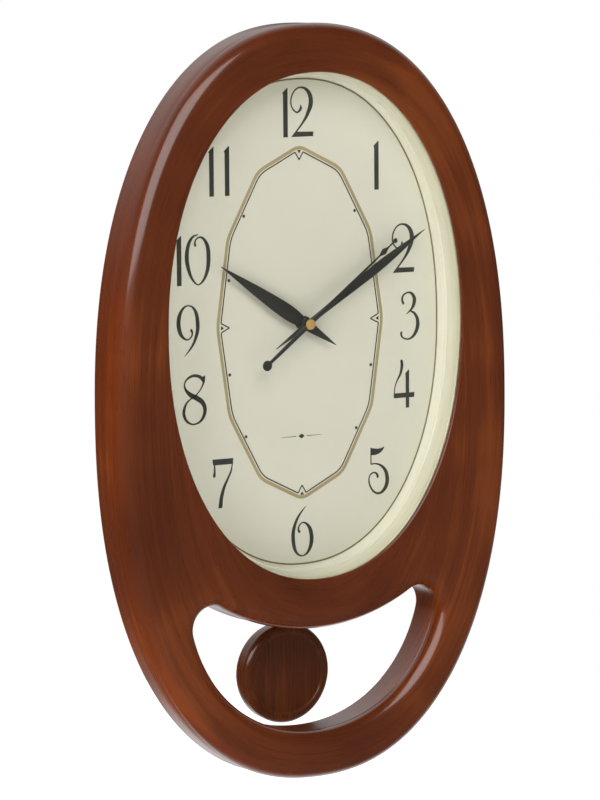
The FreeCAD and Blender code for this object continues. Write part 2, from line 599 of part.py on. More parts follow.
def pendulum_cover():
    body = box(-UNIT_HALF, UNIT_HALF, at(UNIT_SPLIT), at(UNIT_DEPTH), UNIT_LOW, UNIT_TOP)
    return body.cut(rod(PIN_R, at(13), at(17), 0, PIVOT_Z))


def pendulum_screws():
    return ear_screws(unit_ear_places())


def drive_coil():
    return tube(DRIVE_COIL_R, DRIVE_POST_R, at(4), at(13), 0, DRIVE_Z)


def pivot_pin():
    return fuse(rod(PIN_R, at(PIN_FRONT), PIN_HEAD_Y, 0, PIVOT_Z),
                rod(PIN_HEAD_R, PIN_HEAD_Y, PIN_END, 0, PIVOT_Z),
                rod(PIN_HEAD_R, at(UNIT_SPLIT - 1.2), at(UNIT_SPLIT), 0, PIVOT_Z))


def pendulum_arm():
    half = ARM_HALF
    body = fuse(box(-half, half, ARM_Y, ARM_Y + 1.5, HOOK_Z - half, PIVOT_Z),
                rod(half, ARM_Y - 2.5, ARM_Y + 2.5, 0, PIVOT_Z),
                rod(HOOK_R, ARM_Y + 1.5, ROD_Y + 2.3, 0, HOOK_Z),
                rod(HOOK_HEAD_R, ROD_Y + 1.3, ROD_Y + 2.3, 0, HOOK_Z))
    return body.cut(rod(PIN_R + RUN, ARM_Y - 4, ARM_Y + 4, 0, PIVOT_Z))


def drive_magnet():
    return rod(MAGNET_R, ARM_Y - 2.8, ARM_Y, 0, DRIVE_Z)


def pendulum_rod():
    half = ROD_W / 2
    body = fuse(box(-half, half, ROD_Y, ROD_Y + ROD_T, BOB_Z - ROD_TUCK, HOOK_Z),
                rod(HOOK_EYE_R, ROD_Y, ROD_Y + ROD_T, 0, HOOK_Z))
    return body.cut(rod(HOOK_R + 0.05, ROD_Y - 1, ROD_Y + 2, 0, HOOK_Z))


def bob_face():
    body = rod(BOB_R, BOB_FRONT, ROD_Y, 0, BOB_Z)
    body = body.makeFillet(BOB_ROUND, [e for e in body.Edges if abs(e.BoundBox.YMax - BOB_FRONT) < 0.01])
    return body.cut(rod(BOB_R - BOB_EDGE, BOB_FRONT - 1, BOB_FRONT + BOB_SUNK, 0, BOB_Z))


def bob_back():
    half = ROD_W / 2
    body = rod(BOB_R - BOB_BACK_STEP, ROD_Y, BOB_BACK, 0, BOB_Z)
    body = body.cut(box(-half, half, ROD_Y - 1, ROD_Y + ROD_T, BOB_Z - ROD_TUCK, BOB_Z + BOB_R + 1))
    for x in (-BOB_RIVET_X, BOB_RIVET_X):
        body = body.cut(rod(BOB_RIVET_R, ROD_Y - 1, BOB_BACK + 1, x, BOB_Z))
    return body


def bob_rivets():
    return Part.makeCompound([fuse(rod(BOB_RIVET_R, ROD_Y, BOB_BACK, x, BOB_Z),
                                   rod(BOB_RIVET_HEAD_R, BOB_BACK, BOB_BACK + RIVET_HEAD_T, x, BOB_Z))
                              for x in (-BOB_RIVET_X, BOB_RIVET_X)])


def supply_strips():
    return Part.makeCompound([box(x - 1, x + 1, at(5), at(5.4), -34, -28) for x in (-12, 12)])


def lens():
    small = tuple(v - 0.4 for v in REBATE[:2]) + REBATE[2:]
    return prism(small, LIP_BACK, RIM_TOP)


PARTS = {
    "case_frame": case_frame, "dial_rim": dial_rim, "lens": lens,
    "dial_plate": lambda: dial_stack(DIAL_FRONT, DIAL_FRONT + DIAL_T), "dial_board": dial_board,
    "rear_case": rear_case, "rear_case_screws": case_screws, "hanger_plate": hanger_plate,
    "hanger_rivets": hanger_rivets, "wall_pads": wall_pads, "battery_door": battery_door,
    "movement_base": movement_base, "movement_cover": movement_cover, "movement_screws": movement_screws,
    "circuit_board": circuit_board, "timing_chip": timing_chip, "quartz_crystal": quartz_crystal,
    "contact_positive": contact_positive, "contact_negative": contact_negative, "battery": battery,
    "stator": stator, "coil_core": coil_core, "coil_bobbin": coil_bobbin, "coil_winding": coil_winding,
    "rotor": rotor, "intermediate_wheel": intermediate_wheel, "second_wheel": second_wheel,
    "third_wheel": third_wheel, "centre_wheel": centre_wheel, "minute_arbor": minute_arbor,
    "motion_wheel": motion_wheel, "hour_wheel": hour_wheel, "set_knob": set_knob,
    "hour_hand": hour_hand, "minute_hand": minute_hand, "second_hand": second_hand,
    "second_cap": second_cap, "pendulum_case": pendulum_case, "pendulum_cover": pendulum_cover,
    "pendulum_screws": pendulum_screws, "drive_coil": drive_coil, "pivot_pin": pivot_pin,
    "pendulum_arm": pendulum_arm, "drive_magnet": drive_magnet, "pendulum_rod": pendulum_rod,
    "bob_face": bob_face, "bob_back": bob_back, "bob_rivets": bob_rivets, "supply_strips": supply_strips,
}

os.makedirs("parts", exist_ok=True)
for part_name, make in PARTS.items():
    save(part_name, make())
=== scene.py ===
"""Looks of an oval wall clock with a pendulum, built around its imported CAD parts.

Lengths named here are millimetres from the hands' axis on the wall plane: X to the
right, Z up, Y from the front into the wall. spot() turns them into the frame's metres.
"""

import json
from math import atan2, cos, pi, radians, sin

import bpy
import numpy as np
from mathutils import Euler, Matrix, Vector, geometry

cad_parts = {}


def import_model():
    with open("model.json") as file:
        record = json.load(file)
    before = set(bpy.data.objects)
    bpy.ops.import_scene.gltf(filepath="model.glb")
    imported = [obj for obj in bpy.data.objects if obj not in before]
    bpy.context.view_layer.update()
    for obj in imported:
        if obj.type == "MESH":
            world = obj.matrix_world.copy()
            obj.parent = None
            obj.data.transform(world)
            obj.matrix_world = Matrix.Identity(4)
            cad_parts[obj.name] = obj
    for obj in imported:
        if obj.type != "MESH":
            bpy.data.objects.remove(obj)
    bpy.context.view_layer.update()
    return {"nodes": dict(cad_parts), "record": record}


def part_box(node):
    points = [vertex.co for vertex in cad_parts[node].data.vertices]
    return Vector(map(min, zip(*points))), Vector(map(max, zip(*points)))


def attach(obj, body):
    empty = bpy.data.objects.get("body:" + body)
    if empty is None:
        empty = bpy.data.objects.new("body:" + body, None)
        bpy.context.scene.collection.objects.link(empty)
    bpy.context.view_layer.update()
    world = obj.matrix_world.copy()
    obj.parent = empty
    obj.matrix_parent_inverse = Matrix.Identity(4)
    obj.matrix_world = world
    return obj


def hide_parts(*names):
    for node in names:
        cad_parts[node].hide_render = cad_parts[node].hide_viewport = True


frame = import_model()

MM = 0.001
AXIS_LOW, AXIS_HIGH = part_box("second_cap")
WALL_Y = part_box("wall_pads")[1].y
HUB = Vector(((AXIS_LOW.x + AXIS_HIGH.x) / 2, WALL_Y, (AXIS_LOW.z + AXIS_HIGH.z) / 2))

# ---- outlines: half width, half height, exponent, height of the centre
FRAME_OUT = (156.8, 257.2, 2.26, -53.4)
DIAL_OPENING = (117.2, 171.8, 2.12, -1.0)
REBATE = (124.0, 180.0, 2.15, -1.0)
RIM_OUT = (123.6, 179.6, 2.15, -1.0)
RIM_FRONT = (116.8, 171.4, 2.12, -1.0)
RIM_FOOT = (112.2, 166.2, 2.18, 0.4)
DIAL_OUT = (118.0, 172.0, 2.15, -1.0)
CRESCENT_LOW = (102.0, 105.1, 2.1, -172.6)
CRESCENT_ARC_R, CRESCENT_ARC_Z, CRESCENT_CORNER = 152.0, -55.5, 15.0

# ---- depths along Y
FRAME_BACK, FRAME_FRONT = -29.0, -62.5
LIP_FRONT, LIP_BACK = -61.3, -59.3
RIM_TOP = -57.8
DIAL_FRONT = -38.0
INK, INK_LAYER = 0.04, 0.01

# ---- rounded edges of the frame: radius, and the groove that parts them from the walls
OUTER_ROUND, CRESCENT_ROUND = 10.9, 9.4
OUTER_GROOVE, CRESCENT_GROOVE = 0.55, 1.3
WALL_STEP = 0.3

# ---- how finely the meshes are cut
RING_COUNT = 480
FACE_SPACING, BACK_SPACING = 4.0, 6.0
GRID_ROW, GRID_CLEAR = 0.87, 0.6


def spot(x, y, z):
    """A point of the clock, in the frame's metres."""
    return (HUB.x + x * MM, HUB.y + y * MM, HUB.z + z * MM)


# ------------------------------------------------------------- plane curves
def signed_power(value, power):
    return np.sign(value) * np.abs(value) ** power


def oval(outline, count):
    """Points of an oval, anticlockwise from +X as seen from the front, evenly spaced."""
    half_w, half_h, n, centre = outline
    angle = np.linspace(0, 2 * pi, 8 * count, endpoint=False)
    points = np.column_stack((half_w * signed_power(np.cos(angle), 2 / n),
                              centre + half_h * signed_power(np.sin(angle), 2 / n)))
    return evenly(points, count)


def evenly(points, count):
    """The closed line through the points, cut into even steps."""
    closed = np.vstack((points, points[:1]))
    length = np.concatenate(([0], np.cumsum(np.linalg.norm(np.diff(closed, axis=0), axis=1))))
    at = np.linspace(0, length[-1], count, endpoint=False)
    return np.column_stack([np.interp(at, length, closed[:, k]) for k in (0, 1)])


def normals(ring):
    """Outward unit normals of an anticlockwise closed line."""
    along = np.roll(ring, -1, axis=0) - np.roll(ring, 1, axis=0)
    out = np.column_stack((along[:, 1], -along[:, 0]))
    return out / np.linalg.norm(out, axis=1)[:, None]


def grown(ring, by):
    return ring + normals(ring) * by


def arc(centre, radius, start, end, count):
    angle = np.linspace(start, end, count)
    return np.column_stack((centre[0] + radius * np.cos(angle), centre[1] + radius * np.sin(angle)))


def crescent(count):
    """Outline of the crescent opening: an oval below a large round, with rounded corners."""
    low = oval(CRESCENT_LOW, 4000)
    inner = grown(low, -CRESCENT_CORNER)
    gap = np.hypot(inner[:, 0], inner[:, 1] - CRESCENT_ARC_Z) - CRESCENT_ARC_R - CRESCENT_CORNER
    right = np.flatnonzero((gap[:-1] > 0) != (gap[1:] > 0))
    right = right[inner[right][:, 0] > 0][0]
    centre = inner[right]
    out = normals(low)[right]
    start = atan2(centre[1] - CRESCENT_ARC_Z, centre[0])
    corner = arc(centre, CRESCENT_CORNER, atan2(out[1], out[0]), start + pi, 60)
    top = arc((0, CRESCENT_ARC_Z), CRESCENT_ARC_R, start, -pi - start, 600)
    bottom = low[(low[:, 1] < low[right][1])]
    bottom = bottom[np.argsort(np.arctan2(bottom[:, 0], CRESCENT_LOW[3] - bottom[:, 1]))]
    return evenly(np.vstack((bottom, corner, top[1:-1], corner[::-1] * (-1, 1))), count)


def distance(points, ring):
    """Shortest distance of each point to a closed line, given by its close-set points."""
    a, b = ring, np.roll(ring, -1, axis=0)
    best = np.full(len(points), 1e9)
    for k in range(0, len(points), 500):
        p = points[k:k + 500, None, :]
        ab = (b - a)[None]
        t = np.clip(((p - a[None]) * ab).sum(2) / (ab ** 2).sum(2), 0, 1)
        best[k:k + 500] = np.linalg.norm(p - a[None] - ab * t[..., None], axis=2).min(axis=1)
    return best


def inside(points, ring):
    """Whether each point lies inside a closed line."""
    x, z = points[:, 0][:, None], points[:, 1][:, None]
    a, b = ring, np.roll(ring, -1, axis=0)
    crosses = (a[:, 1] > z) != (b[:, 1] > z)
    rise = np.where(b[:, 1] == a[:, 1], 1e-9, b[:, 1] - a[:, 1])
    return (crosses & (x < (b[:, 0] - a[:, 0]) * (z - a[:, 1]) / rise + a[:, 0])).sum(1) % 2 == 1


# ------------------------------------------------------------------ meshes
class Shell:
    """A mesh gathered from rings and patches, in millimetres from the hub."""

    def __init__(self):
        self.points, self.faces, self.flow = [], [], []

    def ring(self, line, y, flow=None):
        """Adds a closed line of points at depth y and returns their numbers."""
        first = len(self.points)
        y = np.broadcast_to(y, len(line))
        self.points += [(p[0], depth, p[1]) for p, depth in zip(line, y)]
        self.flow += [tuple(f) for f in flow] if flow is not None else [(0, 0, 0)] * len(line)
        return list(range(first, first + len(line)))

    def plan(self, ring):
        """A ring's points as seen from the front."""
        return np.array([self.points[k] for k in ring])[:, (0, 2)]

    def band(self, one, other):
        """Faces between two rings of the same count; seen from the front, one lies outside other."""
        n = len(one)
        self.faces += [(one[k], one[(k + 1) % n], other[(k + 1) % n], other[k]) for k in range(n)]

    def cap(self, ring):
        self.faces.append(tuple(ring))

    def made(self, name, material, sharp=35):
        mesh = bpy.data.meshes.new(name)
        mesh.from_pydata([spot(*p) for p in self.points], [], self.faces)
        mesh.materials.append(material)
        mesh.polygons.foreach_set("use_smooth", [True] * len(mesh.polygons))
        if any(f != (0, 0, 0) for f in self.flow):
            mesh.attributes.new("flow", "FLOAT_VECTOR", "POINT")
            mesh.attributes["flow"].data.foreach_set("vector", np.array(self.flow, dtype=float).ravel())
        mesh.set_sharp_from_angle(angle=radians(sharp))
        made = bpy.data.objects.new(name, mesh)
        bpy.context.scene.collection.objects.link(made)
        return made


def patch(shell, rings, spacing, height):
    """Fills the frame's surface inside the first ring and outside the others with triangles."""
    outer, *holes = [shell.plan(ring) for ring in rings]
    low, high = outer.min(axis=0), outer.max(axis=0)
    xs, zs = np.arange(low[0], high[0], spacing), np.arange(low[1], high[1], spacing * GRID_ROW)
    grid = np.array([(x + (spacing / 2 if k % 2 else 0), z) for k, z in enumerate(zs) for x in xs])
    keep = inside(grid, outer) & (distance(grid, outer) > spacing * GRID_CLEAR)
    for hole in holes:
        keep &= ~inside(grid, hole) & (distance(grid, hole) > spacing * GRID_CLEAR)
    grid = grid[keep]
    numbers = [k for ring in rings for k in ring]
    edges, start = [], 0
    for ring in rings:
        edges += [(start + k, start + (k + 1) % len(ring)) for k in range(len(ring))]
        start += len(ring)
    vectors = [Vector(p) for ring in rings for p in shell.plan(ring)] + [Vector(p) for p in grid]
    found = geometry.delaunay_2d_cdt(vectors, edges, [], 0, 1e-6, True)
    origin = {k: group[0] for k, group in enumerate(found[3])}
    numbers += shell.ring(grid, height(grid), streak_flow(grid))
    corners = np.array([found[0][k][:] for face in found[2] for k in face]).reshape(-1, 3, 2)
    middle = corners.mean(axis=1)
    good = inside(middle, outer)
    for hole in holes:
        good &= ~inside(middle, hole)
    shell.faces += [tuple(numbers[origin[k]] for k in face) for face, use in zip(found[2], good) if use]


# ---------------------------------------------------------------- materials
class Finish:
    """A material whose nodes are added one call at a time."""

    def __init__(self, name):
        self.material = bpy.data.materials.new(name)
        self.material.use_nodes = True
        self.tree = self.material.node_tree
        self.tree.nodes.clear()

    def node(self, kind, inputs=None, **settings):
        made = self.tree.nodes.new("ShaderNode" + kind)
        for name, value in settings.items():
            setattr(made, name, value)
        for socket, value in (inputs or {}).items():
            if isinstance(value, bpy.types.NodeSocket):
                self.tree.links.new(value, made.inputs[socket])
            else:
                made.inputs[socket].default_value = value
        return made

    def place(self):
        return self.node("TexCoord").outputs["Object"]

    def flow(self):
        return self.node("Attribute", attribute_name="flow").outputs["Vector"]

    def stretched(self, vector, scale):
        return self.node("Mapping", {"Vector": vector, "Scale": scale}).outputs["Vector"]

    def noise(self, vector, scale, detail=3.0, roughness=0.5, distortion=0.0):
        return self.node("TexNoise", {"Vector": vector, "Scale": scale, "Detail": detail,
                                      "Roughness": roughness, "Distortion": distortion}).outputs["Fac"]

    def ramp(self, factor, *stops):
        """Colours, or greys, at places along the factor."""
        made = self.node("ValToRGB", {"Fac": factor})
        row = made.color_ramp.elements
        while len(row) < len(stops):
            row.new(0.5)
        for element, (at, colour) in zip(row, stops):
            element.position = at
            element.color = (colour,) * 3 + (1,) if isinstance(colour, float) else tuple(colour) + (1,)
        return made.outputs["Color"]

    def mixed(self, factor, one, other, blend="MIX"):
        made = self.node("Mix", data_type="RGBA", blend_type=blend)
        for socket, value in ((0, factor), (6, one), (7, other)):
            if isinstance(value, bpy.types.NodeSocket):
                self.tree.links.new(value, made.inputs[socket])
            else:
                made.inputs[socket].default_value = value if socket == 0 else tuple(value) + (1,)
        return made.outputs[2]

    def sum(self, one, other, weight=1.0):
        return self.node("Math", {0: other, 1: weight, 2: one}, operation="MULTIPLY_ADD").outputs[0]

    def bump(self, height, depth, normal=None):
        """A bump whose full height stands for a depth in millimetres."""
        inputs = {"Height": height, "Distance": depth * MM, "Strength": 1.0}
        if normal:
            inputs["Normal"] = normal
        return self.node("Bump", inputs).outputs["Normal"]

    def finished(self, shader):
        self.node("OutputMaterial", {"Surface": shader.outputs[0]})
        return self.material


def between(finish, fac, low, high):
    """A grey that runs from low to high as the factor runs from 0 to 1."""
    return finish.node("MapRange", {"Value": fac, "To Min": low, "To Max": high}).outputs["Result"]


# lacquered wood: the painted light on its sides (what the sides are multiplied by, a brighter orange that
# stands in for the stronger light they catch), how level a face is before that fades, and the clear coat
SIDE_LIGHT_TINT = (1.15, 0.95, 0.45)
SIDE_LEVEL, FACE_LEVEL = 0.5, 0.96
LACQUER = {"Specular IOR Level": 0.2, "Coat Weight": 0.8, "Coat Roughness": 0.13}


def wood(name, laid, streak, dark, mid, light):
    """Lacquered mahogany with painted light: its sides are tinted a brighter orange, standing in for the
    stronger light they catch. The grain runs where the scaled coordinates change slowly.
    """
    f = Finish(name)
    place = laid(f)
    along = f.stretched(place, streak)
    broad = f.noise(along, 1.0, 4.0, 0.55, 0.6)
    fine = f.noise(f.stretched(place, tuple(4.5 * s for s in streak)), 1.0, 3.0, 0.6)
    cloud = f.noise(f.place(), 9.0, 2.0)
    tone = f.sum(f.sum(cloud, fine, 0.12), broad, 0.6)
    colour = f.ramp(tone, (0.56, dark), (0.88, mid), (1.0, light))
    # painted light: faces that turn sideways, away from the front, get the brighter orange tint
    facing = f.node("SeparateXYZ", {"Vector": f.node("TexCoord").outputs["Normal"]}).outputs["Y"]
    level = f.node("Math", {0: facing}, operation="ABSOLUTE").outputs[0]
    side = f.ramp(level, (SIDE_LEVEL, 1.0), (FACE_LEVEL, 0.0))
    colour = f.mixed(side, colour, f.mixed(1.0, colour, SIDE_LIGHT_TINT, "MULTIPLY"))
    ripple = f.noise(f.place(), 45.0, 1.0)
    shader = f.node("BsdfPrincipled", {
        "Base Color": colour, "Roughness": between(f, fine, 0.24, 0.32),
        "Normal": f.bump(ripple, 0.02, f.bump(fine, 0.012)), **LACQUER})
    return f.finished(shader)


def plastic(name, low, high, roughness, grain=0.02, scale=1800.0, coat=0.0):
    """Moulded plastic with a fine texture and slow changes of shade."""
    f = Finish(name)
    shade = f.noise(f.place(), 14.0, 3.0)
    texture = f.noise(f.place(), scale, 2.0)
    shader = f.node("BsdfPrincipled", {
        "Base Color": f.ramp(shade, (0.3, low), (0.7, high)),
        "Roughness": between(f, texture, roughness - 0.05, roughness + 0.06),
        "Coat Weight": coat, "Coat Roughness": 0.1, "Normal": f.bump(texture, grain)})
    return f.finished(shader)


def metal(name, low, high, roughness, brushed=(1, 1, 1), scale=900.0, depth=0.004):
    """Metal with a drawn, turned or rolled surface."""
    f = Finish(name)
    lines = f.noise(f.stretched(f.place(), brushed), scale, 3.0)
    stain = f.noise(f.place(), 60.0, 3.0)
    shader = f.node("BsdfPrincipled", {
        "Base Color": f.ramp(stain, (0.3, low), (0.7, high)), "Metallic": 1.0,
        "Roughness": between(f, lines, roughness - 0.06, roughness + 0.08), "Normal": f.bump(lines, depth)})
    return f.finished(shader)


# painted shade on the rim: light cream at its foot, darkening to olive towards the front edge under the
# frame's lip
RIM_PAINTED_SHADE = ((0.35, (0.80, 0.775, 0.665)), (0.75, (0.64, 0.61, 0.48)), (1.0, (0.44, 0.41, 0.26)))


def rim_paint_and_shade():
    """Cream lacquer with painted shade: darker and yellower up the slope towards the front edge, under the
    frame's lip, with faint marks along its slope.
    """
    f = Finish("rim_cream")
    flow = f.flow()
    marks = f.noise(f.stretched(flow, (9.0, 3.0, 3.0)), 1.0, 2.0)
    share = f.node("SeparateXYZ", {"Vector": flow}).outputs["X"]
    # painted shade: the colour darkens with the height up the slope
    tone = f.sum(between(f, share, 0.15, 0.75), marks, 0.3)
    fine = f.noise(f.place(), 900.0, 2.0)
    shader = f.node("BsdfPrincipled", {
        "Base Color": f.ramp(tone, *RIM_PAINTED_SHADE), "Roughness": between(f, fine, 0.28, 0.38),
        "Coat Weight": 0.3, "Coat Roughness": 0.15, "Normal": f.bump(marks, 0.008, f.bump(fine, 0.004))})
    return f.finished(shader)


def pane():
    """Clear polished pane: it lets light straight through and mirrors a little at its faces."""
    f = Finish("clear_pane")
    smudge = f.noise(f.place(), 25.0, 3.0)
    mirror = f.node("BsdfGlossy", {"Roughness": between(f, smudge, 0.02, 0.06)})
    clear = f.node("BsdfTransparent", {"Color": (0.985, 0.99, 0.98, 1)})
    front = f.node("Math", {0: 1.0, 1: f.node("NewGeometry").outputs["Backfacing"]}, operation="SUBTRACT")
    share = f.node("Math", {0: f.node("Fresnel", {"IOR": 1.4}).outputs[0], 1: front.outputs[0]},
                   operation="MULTIPLY").outputs[0]
    return f.finished(f.node("MixShader", {0: share, 1: clear.outputs[0], 2: mirror.outputs[0]}))


# two shades of colour, roughness, then the depth and fineness of the texture and the clear coat
PLASTICS = {
    "dial_print": ((0.580, 0.556, 0.462), (0.596, 0.574, 0.484), 0.45, 0.004, 2500.0),
    "hardboard": ((0.13, 0.075, 0.035), (0.19, 0.115, 0.06), 0.75, 0.08, 1200.0),
    "tub_plastic": ((0.020, 0.014, 0.012), (0.026, 0.019, 0.016), 0.48, 0.05, 1500.0),
    "pad_rubber": ((0.012, 0.012, 0.012), (0.020, 0.020, 0.019), 0.80, 0.06, 1600.0),
    "movement_black": ((0.012, 0.012, 0.013), (0.018, 0.018, 0.019), 0.42, 0.03),
    "board_green": ((0.010, 0.090, 0.035), (0.014, 0.120, 0.045), 0.35, 0.01),
    "chip_black": ((0.012, 0.012, 0.012), (0.020, 0.020, 0.020), 0.6, 0.03),
    "cell_wrap": ((0.016, 0.020, 0.030), (0.024, 0.028, 0.040), 0.25, 0.005, 900.0, 0.5),
    "bobbin_white": ((0.70, 0.69, 0.64), (0.76, 0.75, 0.70), 0.45, 0.01),
    "wheel_white": ((0.70, 0.70, 0.68), (0.78, 0.78, 0.76), 0.4, 0.005),
    "hand_black": ((0.024, 0.024, 0.021), (0.036, 0.036, 0.031), 0.34, 0.006, 2600.0),
    "cap_brass": ((0.36, 0.21, 0.065), (0.44, 0.27, 0.09), 0.32, 0.004, 900.0, 0.4),
    "numeral_ink": ((0.030, 0.031, 0.024), (0.040, 0.041, 0.032), 0.5, 0.01, 3000.0),
    "tan_ink": ((0.30, 0.235, 0.125), (0.36, 0.285, 0.155), 0.4, 0.01, 3000.0),
    "olive_ink": ((0.150, 0.115, 0.030), (0.200, 0.155, 0.045), 0.4, 0.01, 3000.0),
    "line_ink": ((0.022, 0.017, 0.010), (0.030, 0.024, 0.014), 0.4, 0.01, 3000.0),
}
# two shades of colour, roughness, then the direction, fineness and depth of the lines
METALS = {
    "zinc_steel": ((0.50, 0.50, 0.48), (0.62, 0.60, 0.52), 0.32, (1, 1, 14)),
    "crystal_can": ((0.62, 0.62, 0.60), (0.72, 0.72, 0.70), 0.20),
    "spring_contact": ((0.60, 0.58, 0.53), (0.70, 0.68, 0.62), 0.25, (14, 1, 1)),
    "lamination": ((0.36, 0.36, 0.37), (0.46, 0.46, 0.45), 0.38, (1, 1, 12)),
    "copper_wire": ((0.55, 0.20, 0.08), (0.68, 0.28, 0.12), 0.28, (40, 1, 1), 500.0, 0.02),
    "arbor_brass": ((0.55, 0.38, 0.14), (0.70, 0.50, 0.20), 0.22, (1, 30, 1)),
    "pin_steel": ((0.60, 0.60, 0.60), (0.70, 0.70, 0.69), 0.16, (1, 30, 1)),
    "magnet_grey": ((0.45, 0.45, 0.46), (0.55, 0.55, 0.55), 0.24),
    "rod_brass": ((0.52, 0.36, 0.15), (0.64, 0.46, 0.20), 0.30, (14, 1, 1)),
}
# where the grain is laid, its scale, and its dark, middle and light shades
WOODS = {
    "frame_wood": (Finish.flow, (0.9, 0.9, 0.15),
                   (0.058, 0.0122, 0.0034), (0.092, 0.0196, 0.0048), (0.132, 0.0300, 0.0064)),
    "bob_wood": (Finish.place, (420.0, 420.0, 9.0),
                 (0.046, 0.0112, 0.0034), (0.084, 0.0205, 0.0054), (0.124, 0.0320, 0.0078)),
}


def finishes():
    """The materials, by the names of the record's material slots and of the dial's inks."""
    made = {name: kind(name, *row) for kind, table in ((wood, WOODS), (plastic, PLASTICS), (metal, METALS))
            for name, row in table.items()}
    return {**made, "rim_cream": rim_paint_and_shade(), "clear_pane": pane()}


FINISH = finishes()


# CAD parts seen from outside whose edges are broken a little
BROKEN_EDGES = ("rear_case", "battery_door", "hanger_plate", "wall_pads", "rear_case_screws", "hanger_rivets",
                "set_knob", "bob_back", "bob_rivets", "pendulum_rod")
EDGE_BREAK, SAME_POINT, EDGE_ANGLE = 0.25, 0.01, 40


def soften(part):
    """Joins a CAD part's facets and rounds its edges a little."""
    weld = part.modifiers.new("weld", "WELD")
    weld.merge_threshold = SAME_POINT * MM
    bevel = part.modifiers.new("bevel", "BEVEL")
    bevel.width = EDGE_BREAK * MM
    bevel.segments = 2
    bevel.limit_method = "ANGLE"
    bevel.angle_limit = radians(EDGE_ANGLE)
    bevel.harden_normals = True


def dress_cad_parts():
    """Gives every CAD node the material of its slot in the record, and breaks the edges of the outer ones."""
    for part in frame["record"]["subparts"]:
        for slot in frame["nodes"][part["node"]].material_slots:
            slot.material = FINISH[part["material_slot"]]
    for node in BROKEN_EDGES:
        soften(frame["nodes"][node])


# --------------------------------------------------------------- the frame
# how much a step in depth moves the grain, against a step across the face
DEPTH_SHARE = 0.8


def streak_flow(points, depth=0.0):
    """Coordinates that change slowly round the clock and fast across its frame."""
    x, z = np.abs(points[:, 0] / FRAME_OUT[0]), (points[:, 1] - FRAME_OUT[3]) / FRAME_OUT[1]
    level = (x ** FRAME_OUT[2] + np.abs(z) ** FRAME_OUT[2]) ** (1 / FRAME_OUT[2])
    angle = np.arctan2(z, points[:, 0] / FRAME_OUT[0])
    return np.column_stack((np.cos(angle), np.sin(angle), (1 - level) * FRAME_OUT[0] + depth))


def bead(shell, ring, radius, side, groove, steps=12):
    """A wall, a groove and a quarter-round edge; side -1 rounds inwards, +1 outwards.

    Returns the ring at the wall's back and the ring where the round meets the frame's face.
    """
    crest = FRAME_FRONT + radius
    depths = [(side * WALL_STEP, FRAME_BACK), (side * WALL_STEP, (FRAME_BACK + crest) / 2),
              (side * WALL_STEP, crest + 2.2), (side * groove, crest + 1.6), (side * groove, crest + 1.0),
              (0.0, crest + 0.3), (0.0, crest)]
    for k in range(1, steps + 1):
        turn = k / steps * pi / 2
        depths.append((side * radius * (1 - cos(turn)), crest - radius * sin(turn)))
    rows = []
    for offset, y in depths:
        line = grown(ring, offset)
        rows.append(shell.ring(line, y, streak_flow(line, (y - FRAME_FRONT) * DEPTH_SHARE)))
    for one, other in zip(rows, rows[1:]):
        shell.band(one, other) if side < 0 else shell.band(other, one)
    return rows[0], rows[-1]


def land_height(outer, opening, lip):
    """Depth of the frame's face: level at the rounded edges, falling to the lip of the dial opening."""
    def height(points):
        to_outer = np.maximum(distance(points, outer), 1e-3)
        to_opening = np.maximum(distance(points, opening), 1e-3)
        to_edge = (to_outer ** -4 + to_opening ** -4) ** -0.25
        to_lip = distance(points, lip)
        share = to_edge / (to_edge + to_lip)
        return FRAME_FRONT + (LIP_FRONT - FRAME_FRONT) * share ** 1.6
    return height


def case_frame():
    shell = Shell()
    outline, opening = oval(FRAME_OUT, RING_COUNT), crescent(RING_COUNT // 2)
    lip = oval(DIAL_OPENING, RING_COUNT)
    outer_back, outer_top = bead(shell, outline, OUTER_ROUND, -1, OUTER_GROOVE)
    hole_back, hole_top = bead(shell, opening, CRESCENT_ROUND, 1, CRESCENT_GROOVE)
    rows = []
    for offset, y in ((0.0, LIP_BACK), (0.0, LIP_BACK - 0.9), (0.15, LIP_BACK - 1.4), (0.5, LIP_BACK - 1.8),
                      (1.0, LIP_FRONT), (1.6, LIP_FRONT - 0.02)):
        line = grown(lip, offset)
        rows.append(shell.ring(line, y, streak_flow(line)))
    for one, other in zip(rows, rows[1:]):
        shell.band(other, one)
    plan = [shell.plan(ring) for ring in (outer_top, hole_top, rows[-1])]
    patch(shell, [outer_top, hole_top, rows[-1]], FACE_SPACING, land_height(*plan))

    rebate = oval(REBATE, RING_COUNT)
    step = [shell.ring(rebate, y, streak_flow(rebate)) for y in (LIP_BACK, FRAME_BACK)]
    shell.band(step[0], rows[0])
    shell.band(step[1], step[0])
    before = len(shell.faces)
    patch(shell, [outer_back, hole_back, step[1]], BACK_SPACING, lambda points: FRAME_BACK)
    shell.faces[before:] = [face[::-1] for face in shell.faces[before:]]
    made = shell.made("frame_shell", FINISH["frame_wood"])
    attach(made, "clock_case")
    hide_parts("case_frame")


# --------------------------------------------------------- rim, dial, print
def between_rings(foot, front, share):
    return foot * (1 - share) + front * share


def rim_flow(line, height):
    """How high up the slope, and the direction from the middle."""
    angle = np.arctan2(line[:, 1] / RIM_FOOT[1], line[:, 0] / RIM_FOOT[0])
    return np.column_stack((np.full(len(line), height), np.cos(angle), np.sin(angle)))


# the slope from the dial to the frame: share of the way out, share of the height, step off the slope
RIM_PROFILE = [(0.0, 0.0, 0.0), (0.0, 0.012, 0.0), (0.40, 0.40, -0.15), (0.42, 0.405, 0.55),
               (0.44, 0.43, 0.35), (0.93, 0.93, 0.10), (0.985, 0.975, 0.10), (1.0, 1.0, 0.6)]


